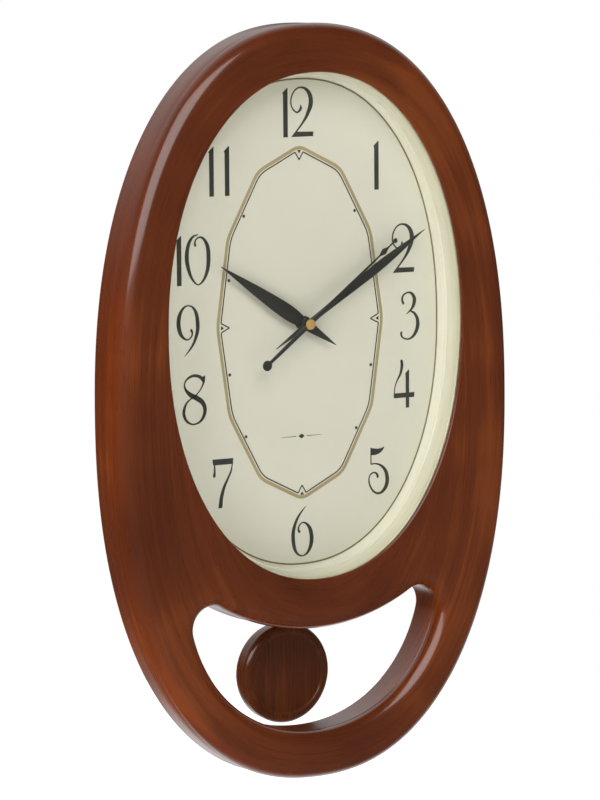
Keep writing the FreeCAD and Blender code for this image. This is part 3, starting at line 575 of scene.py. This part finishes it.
def dial_rim():
    """Sloped ring with a fine step part of the way up, and the flange that the frame holds."""
    shell = Shell()
    foot, front, out = oval(RIM_FOOT, RING_COUNT), oval(RIM_FRONT, RING_COUNT), oval(RIM_OUT, RING_COUNT)
    dial_edge = oval(DIAL_OUT, RING_COUNT)
    rise = RIM_TOP - DIAL_FRONT
    rows = [shell.ring(dial_edge, FRAME_BACK), shell.ring(dial_edge, DIAL_FRONT)]
    for share, height, step in RIM_PROFILE:
        line = grown(between_rings(foot, front, share), step)
        rows.append(shell.ring(line, DIAL_FRONT + rise * height, rim_flow(line, height)))
    rows += [shell.ring(out, y, rim_flow(out, 1.0)) for y in (RIM_TOP, FRAME_BACK)]
    rows.append(shell.ring(dial_edge, FRAME_BACK))
    for one, other in zip(rows, rows[1:]):
        shell.band(other, one)
    made = shell.made("rim_shell", FINISH["rim_cream"], 25)
    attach(made, "clock_case")
    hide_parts("dial_rim")


def curved(points, steps=7):
    """Points along a smooth line through (x, z, width) stations."""
    p = np.array([points[0]] + list(points) + [points[-1]], dtype=float)
    p[0], p[-1] = 2 * p[1] - p[2], 2 * p[-2] - p[-3]
    rows = []
    for k in range(1, len(p) - 2):
        for t in np.arange(steps) / steps:
            rows.append(0.5 * (2 * p[k] + (p[k + 1] - p[k - 1]) * t
                               + (2 * p[k - 1] - 5 * p[k] + 4 * p[k + 1] - p[k + 2]) * t ** 2
                               + (3 * p[k] - p[k - 1] - 3 * p[k + 1] + p[k + 2]) * t ** 3))
    return np.array(rows + [p[-2]])


def brush(shell, stations, place, y, turn=1):
    """A stroke of changing width with rounded ends, printed at a place on the dial."""
    line = curved(stations)
    along = np.gradient(line[:, :2], axis=0)
    side = np.column_stack((-along[:, 1], along[:, 0])) / np.linalg.norm(along, axis=1)[:, None]
    half = np.maximum(line[:, 2], 0.05)[:, None] / 2
    edges = [line[:, :2] + side * half, line[:, :2] - side * half]
    first = len(shell.points)
    for left, right in zip(*edges):
        shell.points += [(place[0] + turn * q[0], y, place[1] + turn * q[1]) for q in (left, right)]
    shell.faces += [(k, k + 1, k + 3, k + 2) for k in range(first, first + 2 * len(line) - 2, 2)]
    for end in (0, -1):
        centre, radius = line[end, :2], half[end, 0]
        area(shell, arc(centre, radius, 0, 2 * pi * 15 / 16, 16), place, y, turn)


def area(shell, corners, place, y, turn=1):
    """A filled printed shape."""
    first = len(shell.points)
    shell.points += [(place[0] + turn * x, y, place[1] + turn * z) for x, z in corners]
    shell.cap(range(first, first + len(corners)))


NINE = [(-2.9, -17.2, 0.4), (1.1, -13.1, 1.3), (4.7, -8.0, 2.0), (7.2, -1.1, 2.7), (7.5, 4.9, 3.0),
        (6.5, 11.0, 2.6), (4.0, 15.2, 1.6), (0.1, 16.7, 1.0), (-3.8, 14.9, 1.8), (-6.5, 10.4, 2.8),
        (-7.4, 4.9, 3.2), (-6.3, -1.1, 2.9), (-3.8, -4.7, 1.9), (-0.6, -6.2, 1.1), (2.2, -4.7, 1.1),
        (3.3, -2.0, 1.4), (2.5, 0.0, 1.9)]
STROKES = {
    "0": [[(0.4, 17.0, 0.7), (-3.9, 15.4, 1.7), (-7.2, 10.2, 2.7), (-8.5, 1.8, 3.2), (-7.2, -6.0, 2.8),
           (-4.4, -12.6, 1.8), (0.0, -16.6, 1.0), (4.5, -13.6, 1.8), (7.7, -6.6, 2.8), (8.5, 1.8, 3.2),
           (7.7, 9.0, 2.9), (4.8, 13.9, 1.9), (1.6, 15.2, 1.2), (-1.2, 13.7, 1.1), (-2.1, 11.4, 1.4),
           (-1.8, 9.8, 1.8)]],
    "2": [[(-1.0, 4.4, 1.0), (-0.9, 2.4, 2.0), (-2.4, 0.6, 1.5), (-4.3, -0.1, 1.2), (-6.7, 1.6, 1.15),
           (-8.4, 4.3, 1.1), (-8.8, 7.4, 1.1), (-8.0, 11.1, 1.1), (-5.8, 14.5, 1.1), (-3.0, 16.3, 1.15),
           (-0.2, 16.6, 1.3), (2.8, 15.7, 2.0), (5.4, 13.3, 2.8), (6.9, 10.0, 3.4), (7.2, 6.6, 3.5),
           (6.6, 3.3, 3.3), (5.0, -0.3, 2.8), (3.2, -3.7, 2.2), (0.7, -7.1, 1.6), (-2.4, -10.7, 1.3),
           (-4.9, -13.4, 1.2), (-7.4, -15.8, 0.9)]],
    "3": [[(-5.2, 8.8, 1.7), (-6.1, 11.8, 1.6), (-4.8, 14.7, 1.3), (-1.2, 16.2, 1.2), (2.0, 15.2, 2.1),
           (4.0, 11.7, 2.9), (3.3, 7.3, 2.6), (1.0, 4.1, 1.5), (-2.5, 1.4, 0.6)],
          [(0.2, 3.4, 0.6), (1.9, 2.8, 1.3), (4.3, 1.2, 1.9), (6.5, -2.9, 2.7), (6.4, -8.3, 3.0),
           (3.9, -13.1, 2.3), (0.4, -15.7, 1.5), (-3.2, -15.9, 1.1), (-6.1, -14.5, 1.3),
           (-7.1, -12.5, 1.6), (-6.9, -11.3, 1.7)]],
    "4": [[(-1.9, 16.0, 2.1), (-1.6, 13.8, 2.4), (-1.8, 11.2, 2.3), (-3.0, 7.1, 1.8), (-5.7, 2.6, 1.1),
           (-7.5, -1.8, 0.85), (-8.1, -6.6, 0.8)]],
    "5": [[(-6.2, 15.8, 0.9), (-6.2, 10.0, 0.9), (-6.2, 4.7, 0.9)],
          [(-6.2, 4.7, 0.9), (-2.0, 4.7, 1.0), (2.3, 3.0, 1.8), (5.8, -0.8, 2.6), (7.1, -6.2, 3.1),
           (6.1, -11.3, 2.9), (3.0, -14.9, 2.1), (-0.5, -16.0, 1.6), (-4.4, -14.2, 1.5),
           (-7.1, -10.2, 1.3), (-8.0, -5.9, 1.1), (-6.7, -2.5, 1.0), (-3.6, -1.3, 1.1),
           (-1.3, -2.6, 1.6), (-0.8, -4.4, 1.8)]],
    "7": [[(-6.5, 13.0, 1.0), (-6.4, 8.8, 1.5), (-6.8, 5.3, 2.1)],
          [(7.6, 13.6, 0.8), (6.5, 8.0, 1.3), (3.6, 2.4, 1.7), (0.8, -3.0, 2.2), (-1.2, -9.2, 2.8),
           (-2.1, -15.2, 3.2)]],
    "8": [[(7.1, 12.4, 2.4), (5.2, 14.6, 2.3), (2.4, 16.0, 2.2), (-1.7, 16.2, 1.9), (-6.0, 14.1, 1.4),
           (-7.8, 10.6, 1.1), (-6.6, 6.8, 2.0), (-3.0, 3.4, 3.2), (2.0, 0.9, 3.6), (6.1, -2.1, 3.3),
           (8.0, -6.5, 2.9), (7.0, -11.4, 2.4), (3.6, -15.2, 1.6), (-1.5, -16.4, 1.2),
           (-6.0, -14.3, 1.8), (-8.3, -10.3, 2.3), (-8.3, -6.3, 2.2), (-6.2, -1.7, 1.4),
           (-2.1, 1.3, 1.0), (2.0, 3.9, 0.9), (5.2, 7.5, 1.0), (7.2, 11.2, 1.3)]],
    "9": [NINE],
}
AREAS = {
    "1": [[(-1.8, -16.8), (1.8, -16.8), (1.9, 16.6), (1.3, 16.6), (-2.4, 13.3), (-2.3, 12.8), (-1.8, 12.3)]],
    "2": [[(-8.9, -16.7), (-4.6, -13.2), (9.2, -13.5), (8.8, -16.7)]],
    "4": [[(-8.6, -6.1), (8.6, -6.1), (8.4, -9.5), (-8.6, -9.5)],
          [(1.3, -16.6), (4.2, -16.6), (4.3, 9.7), (3.8, 9.7), (0.9, 7.2), (1.3, 6.3)]],
    "5": [[(-6.6, 16.0), (-3.0, 15.3), (0.0, 15.0), (2.6, 15.4), (4.8, 16.3), (4.6, 15.2), (3.4, 13.5),
           (0.7, 11.6), (-2.4, 10.8), (-6.6, 10.8)]],
    "7": [[(-8.3, 16.6), (8.3, 16.6), (8.1, 12.6), (-7.6, 12.6)],
          [(-3.9, -16.8), (-0.7, -16.8), (-0.6, -14.6), (-3.6, -14.6)]],
    "8": [[(8.6, 16.2), (5.4, 15.0), (8.2, 11.4)]],
}
NUMERALS = [("1", -10.6, 143.3), ("2", 2.6, 143.3), ("1", 62.5, 105.0), ("2", 84.0, 47.0), ("3", 89.0, 0.0),
            ("4", 84.0, -47.0), ("5", 62.5, -105.5), ("6", 0.0, -143.0), ("7", -63.0, -105.0),
            ("8", -84.5, -47.0), ("9", -89.0, 0.0), ("1", -95.4, 47.0), ("0", -80.9, 47.0),
            ("1", -69.4, 105.7), ("1", -57.2, 105.7)]


def printed(shell, name, ink):
    """Finishes one printed colour of the dial."""
    shell.flow = [(0, 0, 0)] * len(shell.points)
    made = shell.made(name, FINISH[ink])
    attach(made, "clock_case")


def numerals():
    """The hours' numerals and the dots between them."""
    shell = Shell()
    for figure, x, z in NUMERALS:
        turn = -1 if figure == "6" else 1
        shape = "9" if figure == "6" else figure
        layer = DIAL_FRONT - INK
        for stations in STROKES.get(shape, []):
            brush(shell, stations, (x, z), layer, turn)
            layer -= INK_LAYER
        for corners in AREAS.get(shape, []):
            area(shell, corners, (x, z), layer, turn)
            layer -= INK_LAYER
    for x, z in DOTS:
        area(shell, arc((0, 0), DOT_R, 0, 2 * pi * 19 / 20, 20), (x, z), DIAL_FRONT - INK)
    printed(shell, "numerals", "numeral_ink")


# the twelve-sided line: half width, half height, widths of its lines, gap, corners, notches and marks
TRACK_W, TRACK_H = 66.0, 120.4
TRACK_LINE, TRACK_THIN, TRACK_GAP, TRACK_CORNER = 2.3, 0.9, 2.3, 5.5
NOTCH_HALF, NOTCH_DEEP = 3.2, 9.4
MARK_HALF, MARK_TOP, MARK_TIP = 1.5, 2.7, 5.2
EDGE_LINE, EDGE_LINE_IN = 1.1, 0.75
CORNER_STEPS = 7
DOT_R = 1.15
DOTS = [(sx * x, sz * z) for x, z in ((44.4, 74.7), (56.7, 31.9)) for sx in (-1, 1) for sz in (-1, 1)]


def track_corners(inset):
    """Corners of the twelve-sided line, anticlockwise, with its sides moved inwards."""
    corner = [np.array((TRACK_W * cos(k * pi / 6), TRACK_H * sin(k * pi / 6))) for k in range(12)]
    moved = []
    for k in range(12):
        before, here, after = corner[k - 1], corner[k], corner[(k + 1) % 12]
        one = (here - before) / np.linalg.norm(here - before)
        two = (after - here) / np.linalg.norm(after - here)
        inward = np.array((-one[1], one[0])) + np.array((-two[1], two[0]))
        inward /= np.linalg.norm(inward)
        moved.append(here + inward * inset / np.dot(inward, (-one[1], one[0])))
    return moved


def rounded(corners, cut_back):
    """The closed line through the corners, each rounded by a curve that starts cut_back before it."""
    line = []
    for k, here in enumerate(corners):
        before, after = corners[k - 1], corners[(k + 1) % len(corners)]
        start = here + (before - here) * cut_back / np.linalg.norm(before - here)
        end = here + (after - here) * cut_back / np.linalg.norm(after - here)
        for t in np.linspace(0, 1, CORNER_STEPS):
            line.append((1 - t) ** 2 * start + 2 * t * (1 - t) * here + t ** 2 * end)
    return np.array(line)


def ribbon(shell, line, width, y):
    """A printed open line."""
    line = np.array(line)
    along = np.gradient(line, axis=0)
    side = np.column_stack((-along[:, 1], along[:, 0])) / np.linalg.norm(along, axis=1)[:, None] * width / 2
    first = len(shell.points)
    for left, right in zip(line + side, line - side):
        shell.points += [(q[0], y, q[1]) for q in (left, right)]
    shell.faces += [(k, k + 1, k + 3, k + 2) for k in range(first, first + 2 * len(line) - 2, 2)]


def loop(shell, line, width, y):
    outer, inner = shell.ring(grown(line, width / 2), y), shell.ring(grown(line, -width / 2), y)
    shell.band(outer, inner)


def notch_arm(corners, k, step):
    """Where the thin line, coming from a neighbouring corner, turns into the notch at corner k."""
    here, other = corners[k % 12], corners[(k + step) % 12]
    side = np.array((-here[1], here[0])) / np.linalg.norm(here)
    return here + (other - here) * NOTCH_HALF / abs(np.dot(other - here, side))


def track():
    """The twelve-sided line, wide and thin, with its notches, and the fine line at the dial's edge."""
    wide = Shell()
    loop(wide, rounded(track_corners(0), TRACK_CORNER), TRACK_LINE, DIAL_FRONT - INK)
    printed(wide, "track_wide", "tan_ink")
    thin = Shell()
    corners = track_corners(TRACK_GAP)
    layer = DIAL_FRONT - INK
    for k in range(0, 12, 3):
        start, end = notch_arm(corners, k, 1), notch_arm(corners, k + 3, -1)
        bends = rounded([start, corners[k + 1], corners[k + 2], end], TRACK_CORNER)
        bends = bends[CORNER_STEPS:3 * CORNER_STEPS]
        ribbon(thin, np.vstack((start, bends, end)), TRACK_THIN, layer)
        out = corners[k] / np.linalg.norm(corners[k])
        side = np.array((-out[1], out[0]))
        peak = out * (TRACK_W if k % 6 == 0 else TRACK_H)
        for arm in (start, notch_arm(corners, k, -1)):
            ribbon(thin, [arm, peak - out * NOTCH_DEEP], TRACK_THIN, layer)
        area(thin, [peak - out * MARK_TOP - side * MARK_HALF, peak - out * MARK_TOP + side * MARK_HALF,
                    peak - out * MARK_TIP], (0, 0), layer)
    printed(thin, "track_thin", "line_ink")
    edge = Shell()
    # an olive line round the dial's edge, just inside the foot of the rim
    loop(edge, grown(oval(RIM_FOOT, RING_COUNT), -EDGE_LINE_IN), EDGE_LINE, DIAL_FRONT - INK)
    printed(edge, "dial_edge_line", "olive_ink")


ORNAMENT_Z, ORNAMENT_START, ORNAMENT_END = -77.3, 4.2, 16.5
LOZENGE_W, LOZENGE_H = 2.6, 1.7


def ornament():
    """A thin line, a lozenge and a thin line."""
    shell = Shell()
    layer = DIAL_FRONT - INK
    for start, end in ((-ORNAMENT_START, -ORNAMENT_END), (ORNAMENT_START, ORNAMENT_END)):
        area(shell, [(start, -0.28), (start, 0.28), (end, 0.12), (end, -0.12)], (0, ORNAMENT_Z), layer)
    area(shell, [(-LOZENGE_W, 0), (0, -LOZENGE_H), (LOZENGE_W, 0), (0, LOZENGE_H)], (0, ORNAMENT_Z), layer)
    printed(shell, "ornament", "numeral_ink")


# ----------------------------------------------------------------- the hands
HAND_T = 0.6
HOUR_Y, MINUTE_Y, SECOND_Y = -43.8, -47.3, -50.3
HOUR_DIR, MINUTE_DIR, SECOND_DIR = 302.5, 58.0, 52.5


def turned(x, z, direction):
    """A point of a hand that points to 12, turned clockwise."""
    a = radians(direction)
    return x * cos(a) + z * sin(a), z * cos(a) - x * sin(a)


def lathe(shell, profile, centre=(0.0, 0.0), count=64):
    """Rings about an axis along Y, through (radius, depth) points, closed at both ends."""
    rows = []
    for radius, y in profile:
        line = arc(centre, radius, 0, 2 * pi * (count - 1) / count, count)
        rows.append(shell.ring(line, y))
    for one, other in zip(rows, rows[1:]):
        shell.band(one, other)
    shell.cap(rows[0][::-1])
    shell.cap(rows[-1])


def blade(shell, stations, y, direction, ridge):
    """A hand's blade: a strip with chamfered edges and a raised line along its middle."""
    line = curved([(0.0, z, w) for z, w in stations], 10)
    first = len(shell.points)
    section = ((-1.0, HAND_T), (-1.0, 0.25), (-0.82, 0.0), (0.0, -ridge), (0.82, 0.0), (1.0, 0.25),
               (1.0, HAND_T))
    for _, z, width in line:
        half = max(width, 0.3) / 2
        for side, depth in section:
            px, pz = turned(side * half, z, direction)
            shell.points.append((px, y + depth, pz))
            shell.flow.append((0, 0, 0))
    row = len(section)
    for k in range(first, first + row * (len(line) - 1), row):
        shell.faces += [(k + j, k + j + 1, k + j + row + 1, k + j + row) for j in range(row - 1)]
        shell.faces.append((k + row - 1, k, k + row, k + 2 * row - 1))
    shell.cap(range(first + row - 1, first - 1, -1))
    shell.cap(range(len(shell.points) - row, len(shell.points)))


def finish_hand(shell, name, body, node):
    made = shell.made(name, FINISH["hand_black"], 20)
    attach(made, body)
    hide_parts(node)


# stations along each hand: distance from the axis towards the tip, and width
HOUR_BLADE = [(-29.5, 0.5), (-24.0, 2.0), (-15.0, 4.4), (-7.0, 6.3), (0.0, 7.0), (5.0, 8.4), (10.0, 9.8),
              (16.0, 10.5), (23.0, 10.2), (32.0, 9.2), (45.0, 7.2), (62.0, 3.8), (78.0, 0.5)]
MINUTE_BLADE = [(-29.5, 0.4), (-20.0, 1.9), (-10.0, 3.0), (0.0, 3.6), (12.0, 3.9), (30.0, 4.8), (50.0, 6.0),
                (68.0, 6.6), (84.0, 5.2), (100.0, 2.6), (112.8, 0.4)]
SECOND_BLADE = [(-43.0, 2.3), (-20.0, 2.9), (0.0, 3.2), (30.0, 2.4), (60.0, 1.5), (71.0, 1.1), (73.0, 1.9),
                (76.3, 4.2), (79.6, 1.9), (81.8, 1.0), (84.0, 1.1), (88.0, 1.6)]
# round pads of the second hand: distance along it, and radius
SECOND_PADS = [(-43.0, 3.6), (88.0, 1.7), (0.0, 2.4)]
CAP_R = 3.5


def boss(shell, radius, top, y, back, front):
    """The round middle of a hand, chamfered to a smaller top."""
    lathe(shell, [(radius, y + back), (radius, y + 0.2), (radius - 0.3, y - 0.2), (top, y - front)])


def hands():
    """The three hands, each with its round middle, and the cap on their axis."""
    hour = Shell()
    blade(hour, HOUR_BLADE, HOUR_Y, HOUR_DIR, 0.5)
    boss(hour, 5.2, 2.6, HOUR_Y, 1.6, 0.45)
    finish_hand(hour, "hour_blade", "hour_train", "hour_hand")
    minute = Shell()
    blade(minute, MINUTE_BLADE, MINUTE_Y, MINUTE_DIR, 0.4)
    boss(minute, 4.2, 1.6, MINUTE_Y, 1.9, 0.4)
    finish_hand(minute, "minute_blade", "minute_train", "minute_hand")
    second = Shell()
    blade(second, SECOND_BLADE, SECOND_Y, SECOND_DIR, 0.1)
    for along, radius in SECOND_PADS:
        lathe(second, [(radius, SECOND_Y + HAND_T), (radius, SECOND_Y + 0.15), (radius - 0.3, SECOND_Y - 0.1),
                       (radius * 0.4, SECOND_Y - 0.15)], turned(0.0, along, SECOND_DIR), 40)
    finish_hand(second, "second_blade", "second_train", "second_hand")
    cap = Shell()
    dome = [((CAP_R + 0.05) * sin(a), SECOND_Y - 1.8 + 0.8 * (1 - cos(a)))
            for a in np.linspace(pi / 2, 0.12, 12)]
    lathe(cap, [(CAP_R - 0.3, SECOND_Y), (CAP_R, SECOND_Y - 0.1)] + dome)
    made = cap.made("cap_dome", FINISH["cap_brass"])
    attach(made, "second_train")
    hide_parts("second_cap")


# -------------------------------------------------------------------- the bob
BOB_Z, BOB_R, BOB_FRONT, BOB_SEAM = -244.1, 34.8, -17.6, -11.3
BOB_BEAD_W, BOB_BEAD_H, BOB_CREASE, BOB_SUNK = 5.2, 4.4, 0.35, 0.95


def bob():
    """Turned disc: a straight wall, a fine crease, a rounded edge and a slightly sunk face."""
    shell = Shell()
    crest = BOB_FRONT + BOB_BEAD_H
    wall = BOB_R - BOB_CREASE
    profile = [(BOB_R - 1.2, BOB_SEAM), (wall, BOB_SEAM - 0.1), (wall, crest + 0.5), (BOB_R, crest)]
    for a in np.linspace(0.15, pi / 2, 10):
        profile.append((BOB_R - BOB_BEAD_W * (1 - cos(a)), crest - BOB_BEAD_H * sin(a)))
    inner = BOB_R - BOB_BEAD_W
    face = BOB_FRONT + BOB_SUNK
    profile += [(inner - 0.6, BOB_FRONT + 0.1), (inner - 1.3, BOB_FRONT + 0.45), (inner - 2.0, face - 0.1),
                (inner - 2.8, face), (inner - 3.2, face), (inner * 0.5, face)]
    lathe(shell, profile, (0.0, BOB_Z), 128)
    made = shell.made("bob_front", FINISH["bob_wood"], 30)
    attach(made, "pendulum")
    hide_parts("bob_face")


# ---------------------------------------------------------------- the camera
CAMERA_YAW, CAMERA_PITCH, CAMERA_ROLL = -0.5616, -0.1096, 0.0090
CAMERA_DISTANCE = 3059.14
CAMERA_LENS = 202.5
AIM_RIGHT, AIM_UP = 0.360, 52.30


def camera():
    """The camera stands to the left and a little above, and turns about the dial's centre."""
    turn = Euler((CAMERA_PITCH, 0, 0)).to_matrix()
    turn = Euler((0, 0, CAMERA_YAW)).to_matrix() @ turn @ Euler((0, CAMERA_ROLL, 0)).to_matrix()
    right, ahead, up = turn.col
    data = bpy.data.cameras.new("camera")
    data.lens = CAMERA_LENS
    made = bpy.data.objects.new("camera", data)
    bpy.context.scene.collection.objects.link(made)
    made.rotation_euler = (turn @ Euler((pi / 2, 0, 0)).to_matrix()).to_euler()
    made.location = (Vector(spot(0, DIAL_FRONT, 0))
                     - (ahead * CAMERA_DISTANCE + right * AIM_RIGHT + up * AIM_UP) * MM)
    bpy.context.scene.camera = made


# soft boxes that face the dial: place in metres from it, size, power, and whether they light matt surfaces
# and show in glossy ones
LIGHTS = {
    "key_light": ((-0.7, -2.2, 1.9), (1.9, 1.9), 56, True, False),
    "front_fill": ((0.4, -2.4, 0.9), (2.5, 2.5), 15, True, False),
    "left_fill": ((-2.6, -0.5, 0.5), (2.0, 2.0), 60, True, False),
    "mirrored_box": ((-1.4, -1.9, 1.6), (2.8, 2.8), 92, False, True),
}


def area_light(name, place, size, power, lit, mirrored):
    data = bpy.data.lights.new(name, "AREA")
    data.shape = "RECTANGLE"
    data.size, data.size_y = size
    data.energy = power
    made = bpy.data.objects.new(name, data)
    bpy.context.scene.collection.objects.link(made)
    made.location = HUB + Vector(place)
    made.rotation_euler = (-Vector(place)).to_track_quat("-Z", "Y").to_euler()
    made.visible_diffuse, made.visible_glossy = lit, mirrored


# the world as the clock sees it: brightness all round, and of its upper and lower parts behind the clock
WORLD_FRONT, WORLD_UPPER, WORLD_LOWER = 0.05, 0.85, 1.0


def world():
    """White to the eye; to the clock, bright behind, above and at the lower right, and dim elsewhere."""
    made = bpy.data.worlds.new("studio")
    bpy.context.scene.world = made
    made.use_nodes = True
    tree = made.node_tree
    tree.nodes.clear()
    place = tree.nodes.new("ShaderNodeTexCoord")
    parts = tree.nodes.new("ShaderNodeSeparateXYZ")
    tree.links.new(place.outputs["Generated"], parts.inputs[0])

    def rise(axis, low, high):
        """0 below low and 1 past high, along one axis of the direction looked in."""
        ramp = tree.nodes.new("ShaderNodeMapRange")
        ramp.interpolation_type = "SMOOTHSTEP"
        ramp.inputs["From Min"].default_value = low
        ramp.inputs["From Max"].default_value = high
        tree.links.new(parts.outputs[axis], ramp.inputs["Value"])
        return ramp.outputs[0]

    def product(one, other, add=0.0):
        node = tree.nodes.new("ShaderNodeMath")
        node.operation = "MULTIPLY_ADD"
        for socket, value in zip(node.inputs, (one, other, add)):
            if isinstance(value, float):
                socket.default_value = value
            else:
                tree.links.new(value, socket)
        return node.outputs[0]

    upper = product(rise("Z", 0.0, 0.65), WORLD_UPPER)
    lower = product(rise("Z", -0.15, -0.5), rise("X", -0.3, 0.2))
    strength = product(rise("Y", -0.2, 0.6), product(lower, WORLD_LOWER, upper), WORLD_FRONT)
    eye = tree.nodes.new("ShaderNodeLightPath")
    pick = tree.nodes.new("ShaderNodeMix")
    pick.inputs["B"].default_value = 1.0
    tree.links.new(eye.outputs["Is Camera Ray"], pick.inputs["Factor"])
    tree.links.new(strength, pick.inputs["A"])
    light = tree.nodes.new("ShaderNodeBackground")
    light.inputs["Color"].default_value = (1, 1, 1, 1)
    tree.links.new(pick.outputs["Result"], light.inputs["Strength"])
    out = tree.nodes.new("ShaderNodeOutputWorld")
    tree.links.new(light.outputs[0], out.inputs[0])


FLOOR_R, FLOOR_Z, FLOOR_GLOW = 2600.0, -700.0, 0.8


def studio():
    """The lights, and a white floor that the lacquer doesn't mirror."""
    world()
    for name, row in LIGHTS.items():
        area_light(name, *row)
    bpy.context.scene.view_settings.view_transform = "Standard"
    shell = Shell()
    edge = arc((0, 0), FLOOR_R, 0, 2 * pi * 119 / 120, 120)
    shell.points = [(x, y, FLOOR_Z) for x, y in edge]
    shell.flow = [(0, 0, 0)] * len(edge)
    shell.cap(range(len(edge)))
    paint = plastic("floor_paint", (0.86, 0.86, 0.86), (0.88, 0.88, 0.88), 0.8, 0.01, 50.0)
    shine = next(n for n in paint.node_tree.nodes if n.type == "BSDF_PRINCIPLED")
    shine.inputs["Emission Color"].default_value = (1, 1, 1, 1)
    shine.inputs["Emission Strength"].default_value = FLOOR_GLOW
    floor = shell.made("floor", paint)
    floor.visible_glossy = False


dress_cad_parts()
case_frame()
dial_rim()
numerals()
track()
ornament()
hands()
bob()
camera()
studio()
